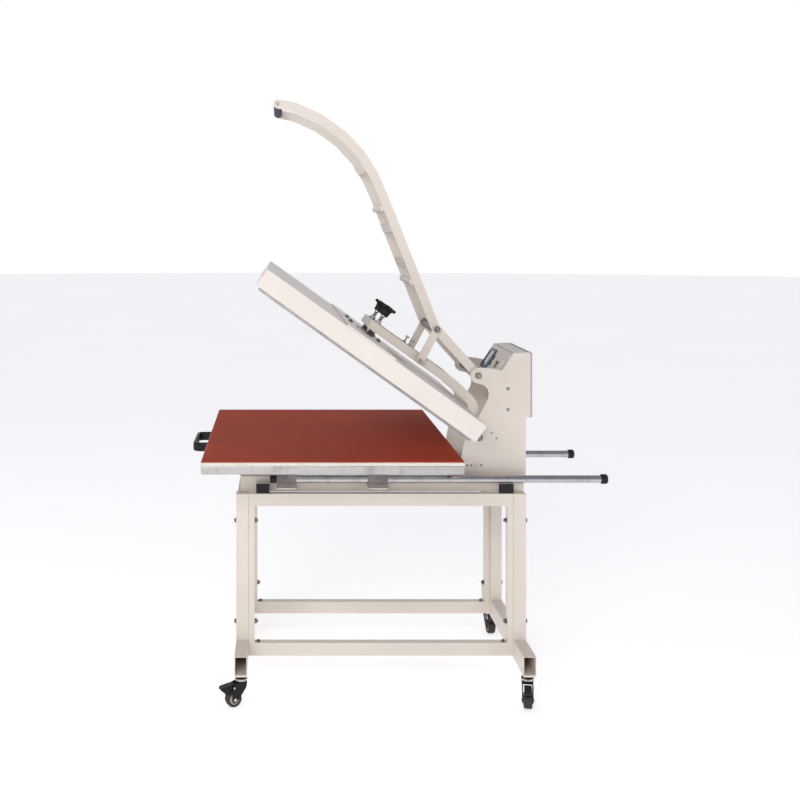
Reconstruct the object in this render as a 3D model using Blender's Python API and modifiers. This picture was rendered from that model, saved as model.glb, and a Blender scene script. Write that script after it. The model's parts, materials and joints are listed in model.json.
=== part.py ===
"""Large-format clamshell heat press with a pull-out lower table on a wheeled stand.

Metres, +Z up. The front of the press faces -Y and the operator's right is +X.
The origin is on the floor under the middle of the whole machine.
The press stands open: head raised, handle up, table pushed in.
"""

from math import acos, atan2, cos, degrees, hypot, pi, radians, sin

import bmesh
import bpy
from mathutils import Matrix, Vector

GAP = 0.0003  # air left between pieces that touch

# Stand
STAND_HALF = 0.220  # outer faces of the posts
STAND_FRONT = -0.535
STAND_REAR = 0.4170
STAND_TOP = 0.6450
POST = 0.040
FOOT_HALF = 0.365  # half length of a foot tube
FOOT_LOW = 0.105
FOOT_HIGH = 0.165
FOOT_WALL = 0.002
FOOT_PAD = 0.0047  # thickness of the caster plates under a foot
RAIL_DEPTH = 0.030
RAIL_HEIGHT = 0.040
RAIL_SETBACK = 0.002
LOW_RAIL = 0.113
LOW_RAIL_HEIGHT = 0.042
UPRIGHT_WIDTH = 0.020

# Casters
CASTER_X = 0.330
CASTER_YAWS = {"front_right": 25.0, "rear_right": 80.0, "front_left": -85.0, "rear_left": 95.0}
WHEEL_RADIUS = 0.0255
WHEEL_HALF = 0.0135
TRAIL = 0.027
FORK_INNER = 0.0148
FORK_LEG = 0.0028
AXLE_RADIUS = 0.004
PEDAL_PIVOT = (-0.030, 0.0635)

# Base frame that carries the upright and the slide bearings
BEAM_X = 0.160
BEAM = 0.050
BEAM_FRONT = -0.522
CROSS_LOW = 0.6465
CROSS_HEIGHT = 0.032
CROSS_HALF = 0.2165
FRONT_CROSS = (-0.4700, -0.4250)
REAR_CROSS = (0.3270, 0.3768)
TAB_THICKNESS = 0.004

# Pull-out table
PLATEN = (1.000, 0.800, 0.026)
PLATEN_FRONT = -0.631
PLATEN_LOW = 0.769
FOAM_THICKNESS = 0.010
FOAM_OVERHANG = 0.002
SHEET_THICKNESS = 0.003
ROD_X = 0.2085
ROD_Z = 0.6916
ROD_RADIUS = 0.0125
ROD_FRONT = -0.4020
ROD_REAR = 0.6657
CAP_LENGTH = 0.022
BLOCK_LENGTH = 0.065
BLOCK_STARTS = {"front": -0.4020, "rear": -0.1020}
BLOCK_INNER = 0.1858
BLOCK_OUTER = 0.2315
BLOCK_LOW = 0.6665
BLOCK_HIGH = 0.7165
SLOT_HALF = 0.007  # slot in a bearing block that the hanger web runs through
WEB_HALF = 0.005

# Upright
PLATE_INNER = 0.161
PLATE_OUTER = 0.169
PLATE_FRONT = 0.2120
PLATE_REAR = 0.4440
NOSE_RADIUS = 0.026
PANEL_TOP = (0.3870, 1.1016)
PANEL_SLOPE = 55.9
PANEL_LENGTH = 0.116
SHAFT_END = 0.1735

# Linkage: y and z of the pivots
HANDLE_PIVOT = (0.2700, 1.0270)
HEAD_PIVOT = (0.2715, 0.8215)
LINK_ANCHOR = (-0.3065, 0.0930)  # in the head's own frame, from its pivot
CRANK = 0.2060
LINK = 0.1191
HEAD_TILT = 35.6  # how far the head stands open
SHAFT_RADIUS = 0.010
HEAD_SHAFT_RADIUS = 0.012
BORE_CLEARANCE = 0.0004

# Head, in its own frame: origin on the head pivot, y along the plates, z square to them
COVER_HALF = 0.510
COVER = (-0.9020, -0.0850, -0.0030, 0.0575)
COVER_SHEET = 0.0015
COVER_PAD = (-0.606, -0.426, 0.0622)  # raised plate across the top of the cover
HEATER_HALF = 0.495
HEATER = (-0.8880, -0.0980, -0.0122, 0.0120)
CARRIER_X = (0.1390, 0.1490)
CARRIER_Z = (0.0815, 0.1105)
CARRIER_FRONT = -0.514
FRONT_BAR = 0.040
REAR_BAR = (-0.370, -0.336)
SCREW_X = 0.1145
SCREW_Y = -0.4890
SCREW_RADIUS = 0.0065
KNOB_RADIUS = 0.029
KNOB_LOBES = 8

# Handle
ARM_X = (0.151, 0.159)
ARM_HALF_WIDTH = 0.0150
ARM_SHOULDER = (0.1262, 1.1904)  # where the arm turns up, just past the link pivot
ARM_ELBOW = (-0.0441, 1.6209)  # where the straight part ends and the bend towards the grip begins
ARM_BEND = (
    (-0.0782, 1.6974),
    (-0.1209, 1.7656),
    (-0.1804, 1.8297),
    (-0.2572, 1.8848),
    (-0.3424, 1.9232),
    (-0.3985, 1.9339),
)
GRIP_RADIUS = 0.0140
FLAT_BARS = ((-0.1095, 1.7230), (-0.0189, 1.5204), (0.0335, 1.4008))
ROUND_BARS = ((-0.0459, 1.5875), (0.0521, 1.3398))

ROUND_STEPS = 24


# ---------------------------------------------------------------- scene and materials


def clear_scene():
    """Remove every object, so the model starts empty."""
    for obj in list(bpy.data.objects):
        bpy.data.objects.remove(obj, do_unlink=True)


def new_collection(name):
    collection = bpy.data.collections.new(name)
    bpy.context.scene.collection.children.link(collection)
    return collection


def make_material(name, color, roughness, metallic):
    material = bpy.data.materials.new(name)
    material.use_nodes = True
    shader = material.node_tree.nodes["Principled BSDF"]
    shader.inputs["Base Color"].default_value = (*color, 1.0)
    shader.inputs["Roughness"].default_value = roughness
    shader.inputs["Metallic"].default_value = metallic
    return material


clear_scene()
PRESS = new_collection("heat_press")
CUTTERS = new_collection("cutters")

PAINT = make_material("warm_white_paint", (0.72, 0.68, 0.61), 0.45, 0.0)
HEAD_PAINT = make_material("head_paint", (0.82, 0.78, 0.74), 0.42, 0.0)
ALUMINIUM = make_material("brushed_aluminium", (0.60, 0.59, 0.58), 0.38, 1.0)
CHROME = make_material("chromed_steel", (0.62, 0.62, 0.64), 0.12, 1.0)
BEARING = make_material("bearing_housing", (0.17, 0.14, 0.14), 0.5, 0.6)
BLACK = make_material("black_plastic", (0.03, 0.03, 0.033), 0.45, 0.0)
STEEL = make_material("dark_steel", (0.12, 0.11, 0.11), 0.4, 0.9)
SILICONE = make_material("red_silicone", (0.30, 0.055, 0.035), 0.75, 0.0)
FOAM = make_material("cream_foam", (0.80, 0.76, 0.68), 0.9, 0.0)
GRIP_RUBBER = make_material("grip_rubber", (0.09, 0.08, 0.10), 0.8, 0.0)
TREAD = make_material("caster_tread", (0.045, 0.035, 0.03), 0.7, 0.0)
GREY_SHEET = make_material("blue_grey_sheet", (0.30, 0.34, 0.38), 0.4, 0.3)
AMBER = make_material("switch_brown", (0.16, 0.07, 0.04), 0.35, 0.0)
PANEL = make_material("panel_grey", (0.32, 0.31, 0.33), 0.5, 0.0)


# ---------------------------------------------------------------- shape helpers


def add_object(name, mesh, material, parent=None):
    """Put a mesh in the model under a name of its own."""
    obj = bpy.data.objects.new(name, mesh)
    PRESS.objects.link(obj)
    if material is not None:
        mesh.materials.clear()
        mesh.materials.append(material)
    if parent is not None:
        obj.parent = parent
    return obj


def hide_as_cutter(obj):
    """Keep an object as a Boolean operand only."""
    PRESS.objects.unlink(obj)
    CUTTERS.objects.link(obj)
    obj.hide_render = True
    obj.display_type = "WIRE"
    return obj


def pivot(name, location, rotation=(0.0, 0.0, 0.0), parent=None):
    """An empty on a joint's axis."""
    empty = bpy.data.objects.new(name, None)
    PRESS.objects.link(empty)
    empty.location = location
    empty.rotation_euler = rotation
    empty.parent = parent
    return empty


def box(name, low, high, material, parent=None, bevel=0.0, segments=2):
    """A block between two corners, its origin at its middle."""
    size = Vector(high) - Vector(low)
    mesh = bpy.data.meshes.new(name)
    bm = bmesh.new()
    bmesh.ops.create_cube(bm, size=1.0)
    bmesh.ops.scale(bm, vec=size, verts=bm.verts)
    bm.to_mesh(mesh)
    bm.free()
    obj = add_object(name, mesh, material, parent)
    obj.location = (Vector(low) + Vector(high)) / 2
    if bevel:
        add_bevel(obj, bevel, segments)
    return obj


def add_bevel(obj, width, segments=2):
    modifier = obj.modifiers.new("bevel", "BEVEL")
    modifier.width = width
    modifier.segments = segments
    modifier.limit_method = "ANGLE"
    modifier.angle_limit = radians(40)


def turned(name, profile, axis, centre, material, parent=None, steps=ROUND_STEPS):
    """A turned piece.

    Its profile gives (radius, distance along the axis), from the top end to the bottom end.
    """
    mesh = bpy.data.meshes.new(name)
    points = [(0.0, 0.0, profile[0][1]), *((r, 0.0, z) for r, z in profile), (0.0, 0.0, profile[-1][1])]
    mesh.from_pydata(points, [(i, i + 1) for i in range(len(points) - 1)], [])
    obj = add_object(name, mesh, material, parent)
    obj.location = centre
    obj.rotation_euler = {"X": (0, pi / 2, 0), "Y": (-pi / 2, 0, 0), "Z": (0, 0, 0)}[axis]
    screw = obj.modifiers.new("turn", "SCREW")
    screw.steps = steps
    screw.render_steps = steps
    screw.use_merge_vertices = True
    screw.merge_threshold = 0.00001
    return obj


def ring(name, profile, axis, centre, material, parent=None, steps=ROUND_STEPS):
    """A turned piece with a bore.

    Its profile is the closed loop (radius, distance), outer side from top to bottom.
    """
    mesh = bpy.data.meshes.new(name)
    count = len(profile)
    mesh.from_pydata([(r, 0.0, z) for r, z in profile], [(i, (i + 1) % count) for i in range(count)], [])
    obj = add_object(name, mesh, material, parent)
    obj.location = centre
    obj.rotation_euler = {"X": (0, pi / 2, 0), "Y": (-pi / 2, 0, 0), "Z": (0, 0, 0)}[axis]
    screw = obj.modifiers.new("turn", "SCREW")
    screw.steps = steps
    screw.render_steps = steps
    screw.use_merge_vertices = True
    screw.merge_threshold = 0.00001
    return obj


def rod(name, radius, length, axis, centre, material, parent=None, steps=ROUND_STEPS):
    """A plain round bar along an axis."""
    return turned(name, [(radius, length / 2), (radius, -length / 2)], axis, centre, material, parent, steps)


PLANES = {"X": (pi / 2, 0, pi / 2), "Y": (pi / 2, 0, 0), "Z": (0, 0, 0)}


def slab(name, outlines, axis, start, end, material, parent=None):
    """Flat outlines extruded from start to end along an axis; later outlines are holes.

    An outline is given in (y, z) for the X axis, (x, z) for the Y axis and (x, y) for the Z axis.
    """
    curve = bpy.data.curves.new(name, "CURVE")
    curve.dimensions = "2D"
    curve.fill_mode = "BOTH"
    curve.extrude = abs(end - start) / 2
    for outline in outlines:
        spline = curve.splines.new("POLY")
        spline.points.add(len(outline) - 1)
        for point, (u, v) in zip(spline.points, outline):
            point.co = (u, v, 0.0, 1.0)
        spline.use_cyclic_u = True
    flat = bpy.data.objects.new(name + "_outline", curve)
    PRESS.objects.link(flat)
    bpy.context.view_layer.update()
    evaluated = flat.evaluated_get(bpy.context.evaluated_depsgraph_get())
    mesh = bpy.data.meshes.new_from_object(evaluated)
    bpy.data.objects.remove(flat)
    mesh.name = name
    bm = bmesh.new()
    bm.from_mesh(mesh)
    bmesh.ops.remove_doubles(bm, verts=bm.verts, dist=0.000005)
    bmesh.ops.recalc_face_normals(bm, faces=bm.faces)
    bm.to_mesh(mesh)
    bm.free()
    obj = add_object(name, mesh, material, parent)
    middle = (start + end) / 2
    obj.rotation_euler = PLANES[axis]
    obj.location = {"X": (middle, 0, 0), "Y": (0, middle, 0), "Z": (0, 0, middle)}[axis]
    return obj


def circle(centre, radius, count=ROUND_STEPS):
    return [
        (centre[0] + radius * cos(2 * pi * i / count), centre[1] + radius * sin(2 * pi * i / count))
        for i in range(count)
    ]


def arc(centre, radius, first, last, count):
    """Points of an arc between two angles in degrees, both ends included."""
    return [
        (
            centre[0] + radius * cos(radians(first + (last - first) * i / count)),
            centre[1] + radius * sin(radians(first + (last - first) * i / count)),
        )
        for i in range(count + 1)
    ]


def rectangle(low_u, high_u, low_v, high_v):
    return [(low_u, low_v), (high_u, low_v), (high_u, high_v), (low_u, high_v)]


def strip(path, half_width, end_steps=8):
    """The outline of a bar of constant width along a path, with a round end at both ends."""

    def heading(i, j):
        return atan2(path[j][1] - path[i][1], path[j][0] - path[i][0])

    left, right = [], []
    last = len(path) - 1
    for i in range(1, last):
        before, after = heading(i - 1, i), heading(i, i + 1)
        middle = (before + after) / 2
        reach = half_width / cos((after - before) / 2)
        left.append((path[i][0] - reach * sin(middle), path[i][1] + reach * cos(middle)))
        right.append((path[i][0] + reach * sin(middle), path[i][1] - reach * cos(middle)))
    start, finish = degrees(heading(0, 1)), degrees(heading(last - 1, last))
    head = arc(path[0], half_width, start + 270, start + 90, end_steps)
    tail = arc(path[last], half_width, finish + 90, finish - 90, end_steps)
    return head + left + tail + right[::-1]


def combine(obj, other, operation):
    """Join or cut an object with another one through a Boolean modifier."""
    modifier = obj.modifiers.new(operation.lower(), "BOOLEAN")
    modifier.operation = operation
    modifier.solver = "EXACT"
    modifier.object = hide_as_cutter(other)


def fuse(obj, *others):
    for other in others:
        combine(obj, other, "UNION")


def cut(obj, *others):
    for other in others:
        combine(obj, other, "DIFFERENCE")


def finished_mesh(obj):
    """The shape of an object with its modifiers, as a mesh in the object's own frame."""
    bpy.context.view_layer.update()
    evaluated = obj.evaluated_get(bpy.context.evaluated_depsgraph_get())
    return bpy.data.meshes.new_from_object(evaluated)


def both_sides(build):
    """Call a builder for the right and the left side."""
    for side, sign in (("right", 1), ("left", -1)):
        build(side, sign)


# ---------------------------------------------------------------- stand


def build_end_frame(name, front, rear):
    """Two posts on a foot tube, with a cross tube between their tops and caster plates below."""
    frame = box(name, (-FOOT_HALF, front, FOOT_LOW), (FOOT_HALF, rear, FOOT_HIGH), PAINT)
    bore = box(
        name + "_bore",
        (-FOOT_HALF - 0.01, front + FOOT_WALL, FOOT_LOW + FOOT_WALL),
        (FOOT_HALF + 0.01, rear - FOOT_WALL, FOOT_HIGH - FOOT_WALL),
        None,
    )
    cut(frame, bore)
    sink = FOOT_WALL / 2
    for sign in (1, -1):
        inner, outer = sign * (STAND_HALF - POST), sign * STAND_HALF
        post = box(
            f"{name}_post{sign}",
            (min(inner, outer), front, FOOT_HIGH - sink),
            (max(inner, outer), rear, STAND_TOP),
            None,
        )
        pad = box(
            f"{name}_pad{sign}",
            (sign * CASTER_X - 0.0345, front + 0.001, FOOT_LOW - FOOT_PAD),
            (sign * CASTER_X + 0.0345, rear - 0.001, FOOT_LOW + sink),
            None,
        )
        fuse(frame, post, pad)
    top = box(
        name + "_top",
        (-STAND_HALF + POST / 2, front + 0.004, STAND_TOP - RAIL_HEIGHT - 0.002),
        (STAND_HALF - POST / 2, rear - 0.004, STAND_TOP - 0.002),
        None,
    )
    fuse(frame, top)


def build_side_frame(side, sign):
    """A rectangular frame of rails and uprights that ties the two end frames together."""
    front, rear = STAND_FRONT + POST + GAP, STAND_REAR - POST - GAP
    outer = sign * (STAND_HALF - RAIL_SETBACK)
    slab(
        side + "_side_frame",
        [
            rectangle(front, rear, LOW_RAIL, STAND_TOP),
            rectangle(
                front + UPRIGHT_WIDTH,
                rear - UPRIGHT_WIDTH,
                LOW_RAIL + LOW_RAIL_HEIGHT,
                STAND_TOP - RAIL_HEIGHT,
            ),
        ],
        "X",
        outer - sign * RAIL_DEPTH,
        outer,
        PAINT,
    )


def build_stand():
    build_end_frame("front_end_frame", STAND_FRONT, STAND_FRONT + POST)
    build_end_frame("rear_end_frame", STAND_REAR - POST, STAND_REAR)
    both_sides(build_side_frame)


# ---------------------------------------------------------------- casters


def fork_mesh():
    """Swivel housing, two legs and the wheel's axle, around the swivel axis."""
    housing = [
        (0.0050, 0.1000),
        (0.0050, 0.0950),
        (0.0140, 0.0945),
        (0.0195, 0.0880),
        (0.0195, 0.0760),
        (0.0165, 0.0720),
    ]
    fork = turned("fork_pattern", housing, "Z", (0, 0, 0), BLACK)
    outline = [
        (0.0140, 0.0760),
        (0.0110, 0.0600),
        (-0.0160, 0.0240),
        *arc((-TRAIL, WHEEL_RADIUS), 0.0105, -10, -170, 6),
        (-0.0340, 0.0520),
        (-0.0330, 0.0690),
        (-0.0160, 0.0760),
    ]
    for sign in (1, -1):
        leg = slab(
            f"fork_leg{sign}",
            [outline],
            "X",
            sign * FORK_INNER,
            sign * (FORK_INNER + FORK_LEG),
            None,
        )
        fuse(fork, leg)
    axle_half = FORK_INNER + FORK_LEG + 0.0024
    axle = rod("fork_axle", AXLE_RADIUS, 2 * axle_half, "X", (0, -TRAIL, WHEEL_RADIUS), None, None, 16)
    crown = box("fork_crown", (-0.0160, -0.0150, 0.0700), (0.0160, 0.0110, 0.0770), None)
    fuse(fork, crown, axle)
    mesh = finished_mesh(fork)
    bpy.data.objects.remove(fork)
    return mesh


def wheel_mesh():
    """Tread, recessed hub and bore of a caster wheel, around its own axle."""
    hub = 0.0160
    recess = 0.0020
    profile = [
        (hub, WHEEL_HALF),
        (WHEEL_RADIUS - 0.003, WHEEL_HALF),
        (WHEEL_RADIUS, WHEEL_HALF - 0.004),
        (WHEEL_RADIUS, -WHEEL_HALF + 0.004),
        (WHEEL_RADIUS - 0.003, -WHEEL_HALF),
        (hub, -WHEEL_HALF),
        (hub - 0.001, -WHEEL_HALF + recess),
        (AXLE_RADIUS + BORE_CLEARANCE, -WHEEL_HALF + recess),
        (AXLE_RADIUS + BORE_CLEARANCE, WHEEL_HALF - recess),
        (hub - 0.001, WHEEL_HALF - recess),
    ]
    wheel = ring("wheel_pattern", profile, "Z", (0, 0, 0), TREAD, None, 32)
    mesh = finished_mesh(wheel)
    bpy.data.objects.remove(wheel)
    return mesh


def pedal_mesh():
    """Brake pedal between the fork's legs, around its own pivot."""
    outline = [
        (-0.0190, 0.0695),
        (-0.0300, 0.0565),
        (-0.0440, 0.0535),
        (-0.0530, 0.0420),
        (-0.0570, 0.0445),
        (-0.0500, 0.0560),
        (-0.0680, 0.0555),
        (-0.0725, 0.0600),
        (-0.0700, 0.0680),
        (-0.0350, 0.0735),
    ]
    pedal = slab("pedal_pattern", [[(y - PEDAL_PIVOT[0], z - PEDAL_PIVOT[1]) for y, z in outline]],
                 "X", -0.0115, 0.0115, BLACK)
    mesh = finished_mesh(pedal)
    mesh.transform(pedal.matrix_world)
    bpy.data.objects.remove(pedal)
    return mesh


def build_casters():
    fork, wheel, pedal = fork_mesh(), wheel_mesh(), pedal_mesh()
    for place, yaw in CASTER_YAWS.items():
        x = CASTER_X if "right" in place else -CASTER_X
        y = STAND_FRONT + POST / 2 if "front" in place else STAND_REAR - POST / 2
        swivel = pivot(f"{place}_swivel", (x, y, 0), (0, 0, radians(yaw)))
        add_object(f"{place}_caster_fork", fork.copy(), None, swivel)
        tyre = add_object(f"{place}_caster_wheel", wheel.copy(), None, swivel)
        tyre.location = (0, -TRAIL, WHEEL_RADIUS)
        tyre.rotation_euler = (0, pi / 2, 0)
        lever = add_object(f"{place}_brake_pedal", pedal.copy(), None, swivel)
        lever.location = (0, *PEDAL_PIVOT)


# ---------------------------------------------------------------- base frame and bearing blocks


def build_base():
    """Two long beams on two cross tubes, with a welded tab under each bearing block."""
    low = STAND_TOP + 0.0005
    parts = []
    for sign in (1, -1):
        parts.append(
            box(
                f"beam{sign}",
                (sign * BEAM_X - BEAM / 2, BEAM_FRONT, low),
                (sign * BEAM_X + BEAM / 2, STAND_REAR, low + BEAM),
                PAINT,
            )
        )
        for start in BLOCK_STARTS.values():
            tab_in, tab_out = sign * (BEAM_X + BEAM / 2 - 0.002), sign * BLOCK_OUTER
            parts.append(
                box(
                    f"tab{sign}_{start}",
                    (min(tab_in, tab_out), start + 0.001, BLOCK_LOW - GAP - TAB_THICKNESS),
                    (max(tab_in, tab_out), start + BLOCK_LENGTH - 0.001, BLOCK_LOW - GAP),
                    None,
                )
            )
    for name, (front, rear) in (("front", FRONT_CROSS), ("rear", REAR_CROSS)):
        parts.append(
            box(
                name + "_cross",
                (-CROSS_HALF, front, CROSS_LOW),
                (CROSS_HALF, rear, CROSS_LOW + CROSS_HEIGHT),
                None,
            )
        )
        for side, sign in (("right", 1), ("left", -1)):
            inner, outer = sign * (CROSS_HALF + GAP), sign * (CROSS_HALF + 0.0038)
            box(
                f"{name}_{side}_tube_cap",
                (min(inner, outer), front + 0.0005, CROSS_LOW + 0.0005),
                (max(inner, outer), rear - 0.0005, CROSS_LOW + CROSS_HEIGHT - 0.0005),
                BLACK,
                bevel=0.0012,
                segments=1,
            )
    base = parts[0]
    base.name = "base_frame"
    fuse(base, *parts[1:])


def build_bearing_block(name, sign, start):
    """A bearing housing, bored for the slide rod and slotted above it for the hanger web."""
    bore = ROD_RADIUS + BORE_CLEARANCE
    inner, outer = sign * BLOCK_INNER, sign * BLOCK_OUTER
    left, right = min(inner, outer), max(inner, outer)
    centre = sign * ROD_X
    slot_angle = degrees(acos(SLOT_HALF / bore))
    outline = [
        (left, BLOCK_LOW),
        (right, BLOCK_LOW),
        (right, BLOCK_HIGH),
        (centre + SLOT_HALF, BLOCK_HIGH),
        *arc((centre, ROD_Z), bore, slot_angle, -180 - slot_angle, 22),
        (centre - SLOT_HALF, BLOCK_HIGH),
        (left, BLOCK_HIGH),
    ]
    slab(name, [outline], "Y", start, start + BLOCK_LENGTH, BEARING)


def build_bearing_blocks():
    for place, start in BLOCK_STARTS.items():
        for side, sign in (("right", 1), ("left", -1)):
            build_bearing_block(f"{place}_{side}_bearing_block", sign, start)


# ---------------------------------------------------------------- pull-out table


def build_table():
    width, length, thickness = PLATEN
    front, rear = PLATEN_FRONT, PLATEN_FRONT + length
    top = PLATEN_LOW + thickness
    drawer = pivot("table_slide", (0, 0, 0))
    box(
        "platen_slab", (-width / 2, front, PLATEN_LOW), (width / 2, rear, top), ALUMINIUM, drawer, 0.003
    )
    foam_top = top + GAP + FOAM_THICKNESS
    box(
        "foam_pad",
        (-width / 2 - FOAM_OVERHANG, front - FOAM_OVERHANG, top + GAP),
        (width / 2 + FOAM_OVERHANG, rear + FOAM_OVERHANG, foam_top),
        FOAM,
        drawer,
        0.002,
        1,
    )
    box(
        "silicone_sheet",
        (-width / 2, front, foam_top + GAP),
        (width / 2, rear, foam_top + GAP + SHEET_THICKNESS),
        SILICONE,
        drawer,
    )
    build_pull_handle(front, drawer)
    for side, sign in (("right", 1), ("left", -1)):
        build_slide_rod(side, sign, rear, drawer)


def build_pull_handle(front, drawer):
    """A bow handle: a flat bar with rounded corners on two feet."""
    half, reach, bar, corner = 0.108, 0.056, 0.012, 0.022
    foot = 0.020
    outer = front - reach
    outline = [
        (half, front - GAP),
        *arc((half - corner, outer + corner), corner, 0, -90, 5),
        *arc((-half + corner, outer + corner), corner, -90, -180, 5),
        (-half, front - GAP),
        (-half + foot, front - GAP),
        *arc((-half + foot + 0.008, outer + bar + 0.008), 0.008, 180, 270, 3),
        *arc((half - foot - 0.008, outer + bar + 0.008), 0.008, 270, 360, 3),
        (half - foot, front - GAP),
    ]
    handle = slab("pull_handle", [outline], "Z", PLATEN_LOW - 0.007, PLATEN_LOW + 0.023, BLACK, drawer)
    add_bevel(handle, 0.0025)


def build_slide_rod(side, sign, rear, drawer):
    """A chromed rod with its end caps and the hanger that carries it under the platen."""
    x = sign * ROD_X
    middle = (ROD_FRONT + ROD_REAR) / 2
    rod(f"{side}_slide_rod", ROD_RADIUS, ROD_REAR - ROD_FRONT, "Y", (x, middle, ROD_Z), CHROME, drawer)
    front_cap, rear_cap = ROD_RADIUS + 0.0003, ROD_RADIUS + 0.0035
    half = CAP_LENGTH / 2
    turned(
        f"{side}_rod_front_cap",
        [(front_cap, half), (front_cap, -half + 0.003), (front_cap - 0.003, -half)],
        "Y",
        (x, ROD_FRONT - GAP - half, ROD_Z),
        BLACK,
        drawer,
    )
    turned(
        f"{side}_rod_rear_cap",
        [(rear_cap - 0.004, half), (rear_cap, half - 0.009), (rear_cap, -half)],
        "Y",
        (x, ROD_REAR + GAP + half, ROD_Z),
        BLACK,
        drawer,
    )
    flange_low = PLATEN_LOW - GAP - 0.008
    web_low = ROD_Z + ROD_RADIUS + GAP
    outline = [
        (x - 0.020, flange_low),
        (x - WEB_HALF, flange_low),
        (x - WEB_HALF, web_low),
        (x + WEB_HALF, web_low),
        (x + WEB_HALF, flange_low),
        (x + 0.020, flange_low),
        (x + 0.020, PLATEN_LOW - GAP),
        (x - 0.020, PLATEN_LOW - GAP),
    ]
    slab(f"{side}_rod_hanger", [outline], "Y", ROD_FRONT, rear - 0.009, ALUMINIUM, drawer)


# ---------------------------------------------------------------- upright


def side_plate_outline():
    """Profile of a side plate: nose for the handle shaft, hollow for the head arms, step at the rear."""
    bottom = STAND_TOP + 0.0005 + BEAM + GAP
    nose = arc(HANDLE_PIVOT, NOSE_RADIUS, 262, 96, 16)
    hollow = [
        (0.2490, 0.8530),
        (0.2720, 0.8940),
        (0.2890, 0.9240),
        (0.3000, 0.9460),
        (0.3035, 0.9580),
        (0.3040, 0.9710),
        (0.3000, 0.9830),
        (0.2900, 0.9935),
        (0.2780, 0.9990),
    ]
    return [
        (PLATE_FRONT, bottom),
        (PLATE_FRONT, 0.7450),
        (0.2140, 0.7630),
        (0.2180, 0.7900),
        (0.2250, 0.8110),
        *hollow,
        *nose,
        (0.2930, 1.0530),
        (0.3180, 1.0500),
        (0.3480, 1.0440),
        PANEL_TOP,
        (0.4380, 1.1046),
        (PLATE_REAR, 1.1010),
        (PLATE_REAR, 0.8960),
        (PLATE_REAR - 0.0030, 0.8880),
        (0.4276, 0.8880),
        (0.4276, bottom),
    ]


def build_upright():
    for side, sign in (("right", 1), ("left", -1)):
        holes = [
            circle(HANDLE_PIVOT, SHAFT_RADIUS + BORE_CLEARANCE),
            circle(HEAD_PIVOT, HEAD_SHAFT_RADIUS + BORE_CLEARANCE),
        ]
        slab(
            f"{side}_side_plate",
            [side_plate_outline(), *holes],
            "X",
            sign * PLATE_INNER,
            sign * PLATE_OUTER,
            PAINT,
        )
    box(
        "rear_cover",
        (-PLATE_OUTER, PLATE_REAR + GAP, 0.8890),
        (PLATE_OUTER, PLATE_REAR + GAP + 0.0045, PANEL_TOP[1] + 0.002),
        GREY_SHEET,
    )
    inner = PLATE_INNER - GAP
    box("upright_brace", (-inner, 0.3600, 0.8950), (inner, 0.3760, 0.9850), PAINT, None, 0.002, 1)
    rod("handle_shaft", SHAFT_RADIUS, 2 * SHAFT_END, "X", (0, *HANDLE_PIVOT), STEEL)
    collar_in, collar_out = CARRIER_X[1] + 0.0005, PLATE_INNER - 0.0005
    collar = HEAD_SHAFT_RADIUS + 0.006
    half_profile = [
        (HEAD_SHAFT_RADIUS, SHAFT_END),
        (HEAD_SHAFT_RADIUS, collar_out),
        (collar, collar_out),
        (collar, collar_in),
        (HEAD_SHAFT_RADIUS, collar_in),
    ]
    profile = half_profile + [(r, -x) for r, x in half_profile[::-1]]
    turned("head_pivot_shaft", profile, "X", (0, *HEAD_PIVOT), STEEL)


def build_controls():
    """Folded control box between the side plates, with its sloping panel, switch and keys."""
    inner = PLATE_INNER - GAP
    slope = radians(PANEL_SLOPE)
    foot = (PANEL_TOP[0] - PANEL_LENGTH * cos(slope), PANEL_TOP[1] - PANEL_LENGTH * sin(slope))
    rear = PLATE_REAR - 0.0008
    sheet = 0.0018
    top = PANEL_TOP[1] - 0.0006
    outline = [
        (PANEL_TOP[0] + 0.004, top),
        (PANEL_TOP[0] + 0.004, top - sheet),
        (rear - sheet, top - sheet),
        (rear - sheet, foot[1] + sheet),
        (foot[0] + 0.004, foot[1] + sheet),
        (foot[0] + 0.004, foot[1]),
        (rear, foot[1]),
        (rear, top),
    ]
    slab("control_box", [outline], "X", -inner, inner, PAINT)

    frame = pivot("panel_frame", (0, *PANEL_TOP), (slope, 0, 0))
    low, high = -PANEL_LENGTH, -0.001
    switch = (0.093, -0.062)
    switch_half = (0.0170, 0.0125)
    keys = {"up_key": (-0.038, -0.046), "down_key": (-0.038, -0.068)}
    key_half = 0.0075

    def opening(centre, half_u, half_v):
        return rectangle(centre[0] - half_u, centre[0] + half_u, centre[1] - half_v, centre[1] + half_v)

    gap = 0.0005
    holes = [opening(switch, switch_half[0] + gap, switch_half[1] + gap)]
    holes += [opening(centre, key_half + gap, key_half + gap) for centre in keys.values()]
    outline = [rectangle(-inner, inner, low, high), *holes]
    panel = slab("control_panel", outline, "Z", -0.0022, -0.0002, PANEL, frame)
    housing = slab(
        "switch_housing",
        [
            rectangle(switch[0] - 0.045, switch[0] + 0.050, switch[1] - 0.030, switch[1] + 0.024),
            opening(switch, switch_half[0] + gap, switch_half[1] + gap),
        ],
        "Z",
        -0.0012,
        0.0110,
        None,
        frame,
    )
    fuse(panel, housing)
    rocker = pivot("switch_pivot", (switch[0], switch[1], 0.004), parent=frame)
    half_u, half_v = switch_half[0] - 0.001, switch_half[1] - 0.0015
    top = [(-half_v, 0.0085), (0.0, 0.0060), (half_v, 0.0110)]
    profile = [*top, (half_v - 0.002, -0.0050), (-half_v + 0.002, -0.0050)]
    slab("power_switch", [profile[::-1]], "X", -half_u, half_u, AMBER, rocker)
    for name, (u, v) in keys.items():
        key = pivot(name + "_slide", (u, v, 0), parent=frame)
        box(
            name,
            (-key_half, -key_half, -0.0040),
            (key_half, key_half, 0.0022),
            BLACK,
            key,
            0.0010,
            1,
        )


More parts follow.
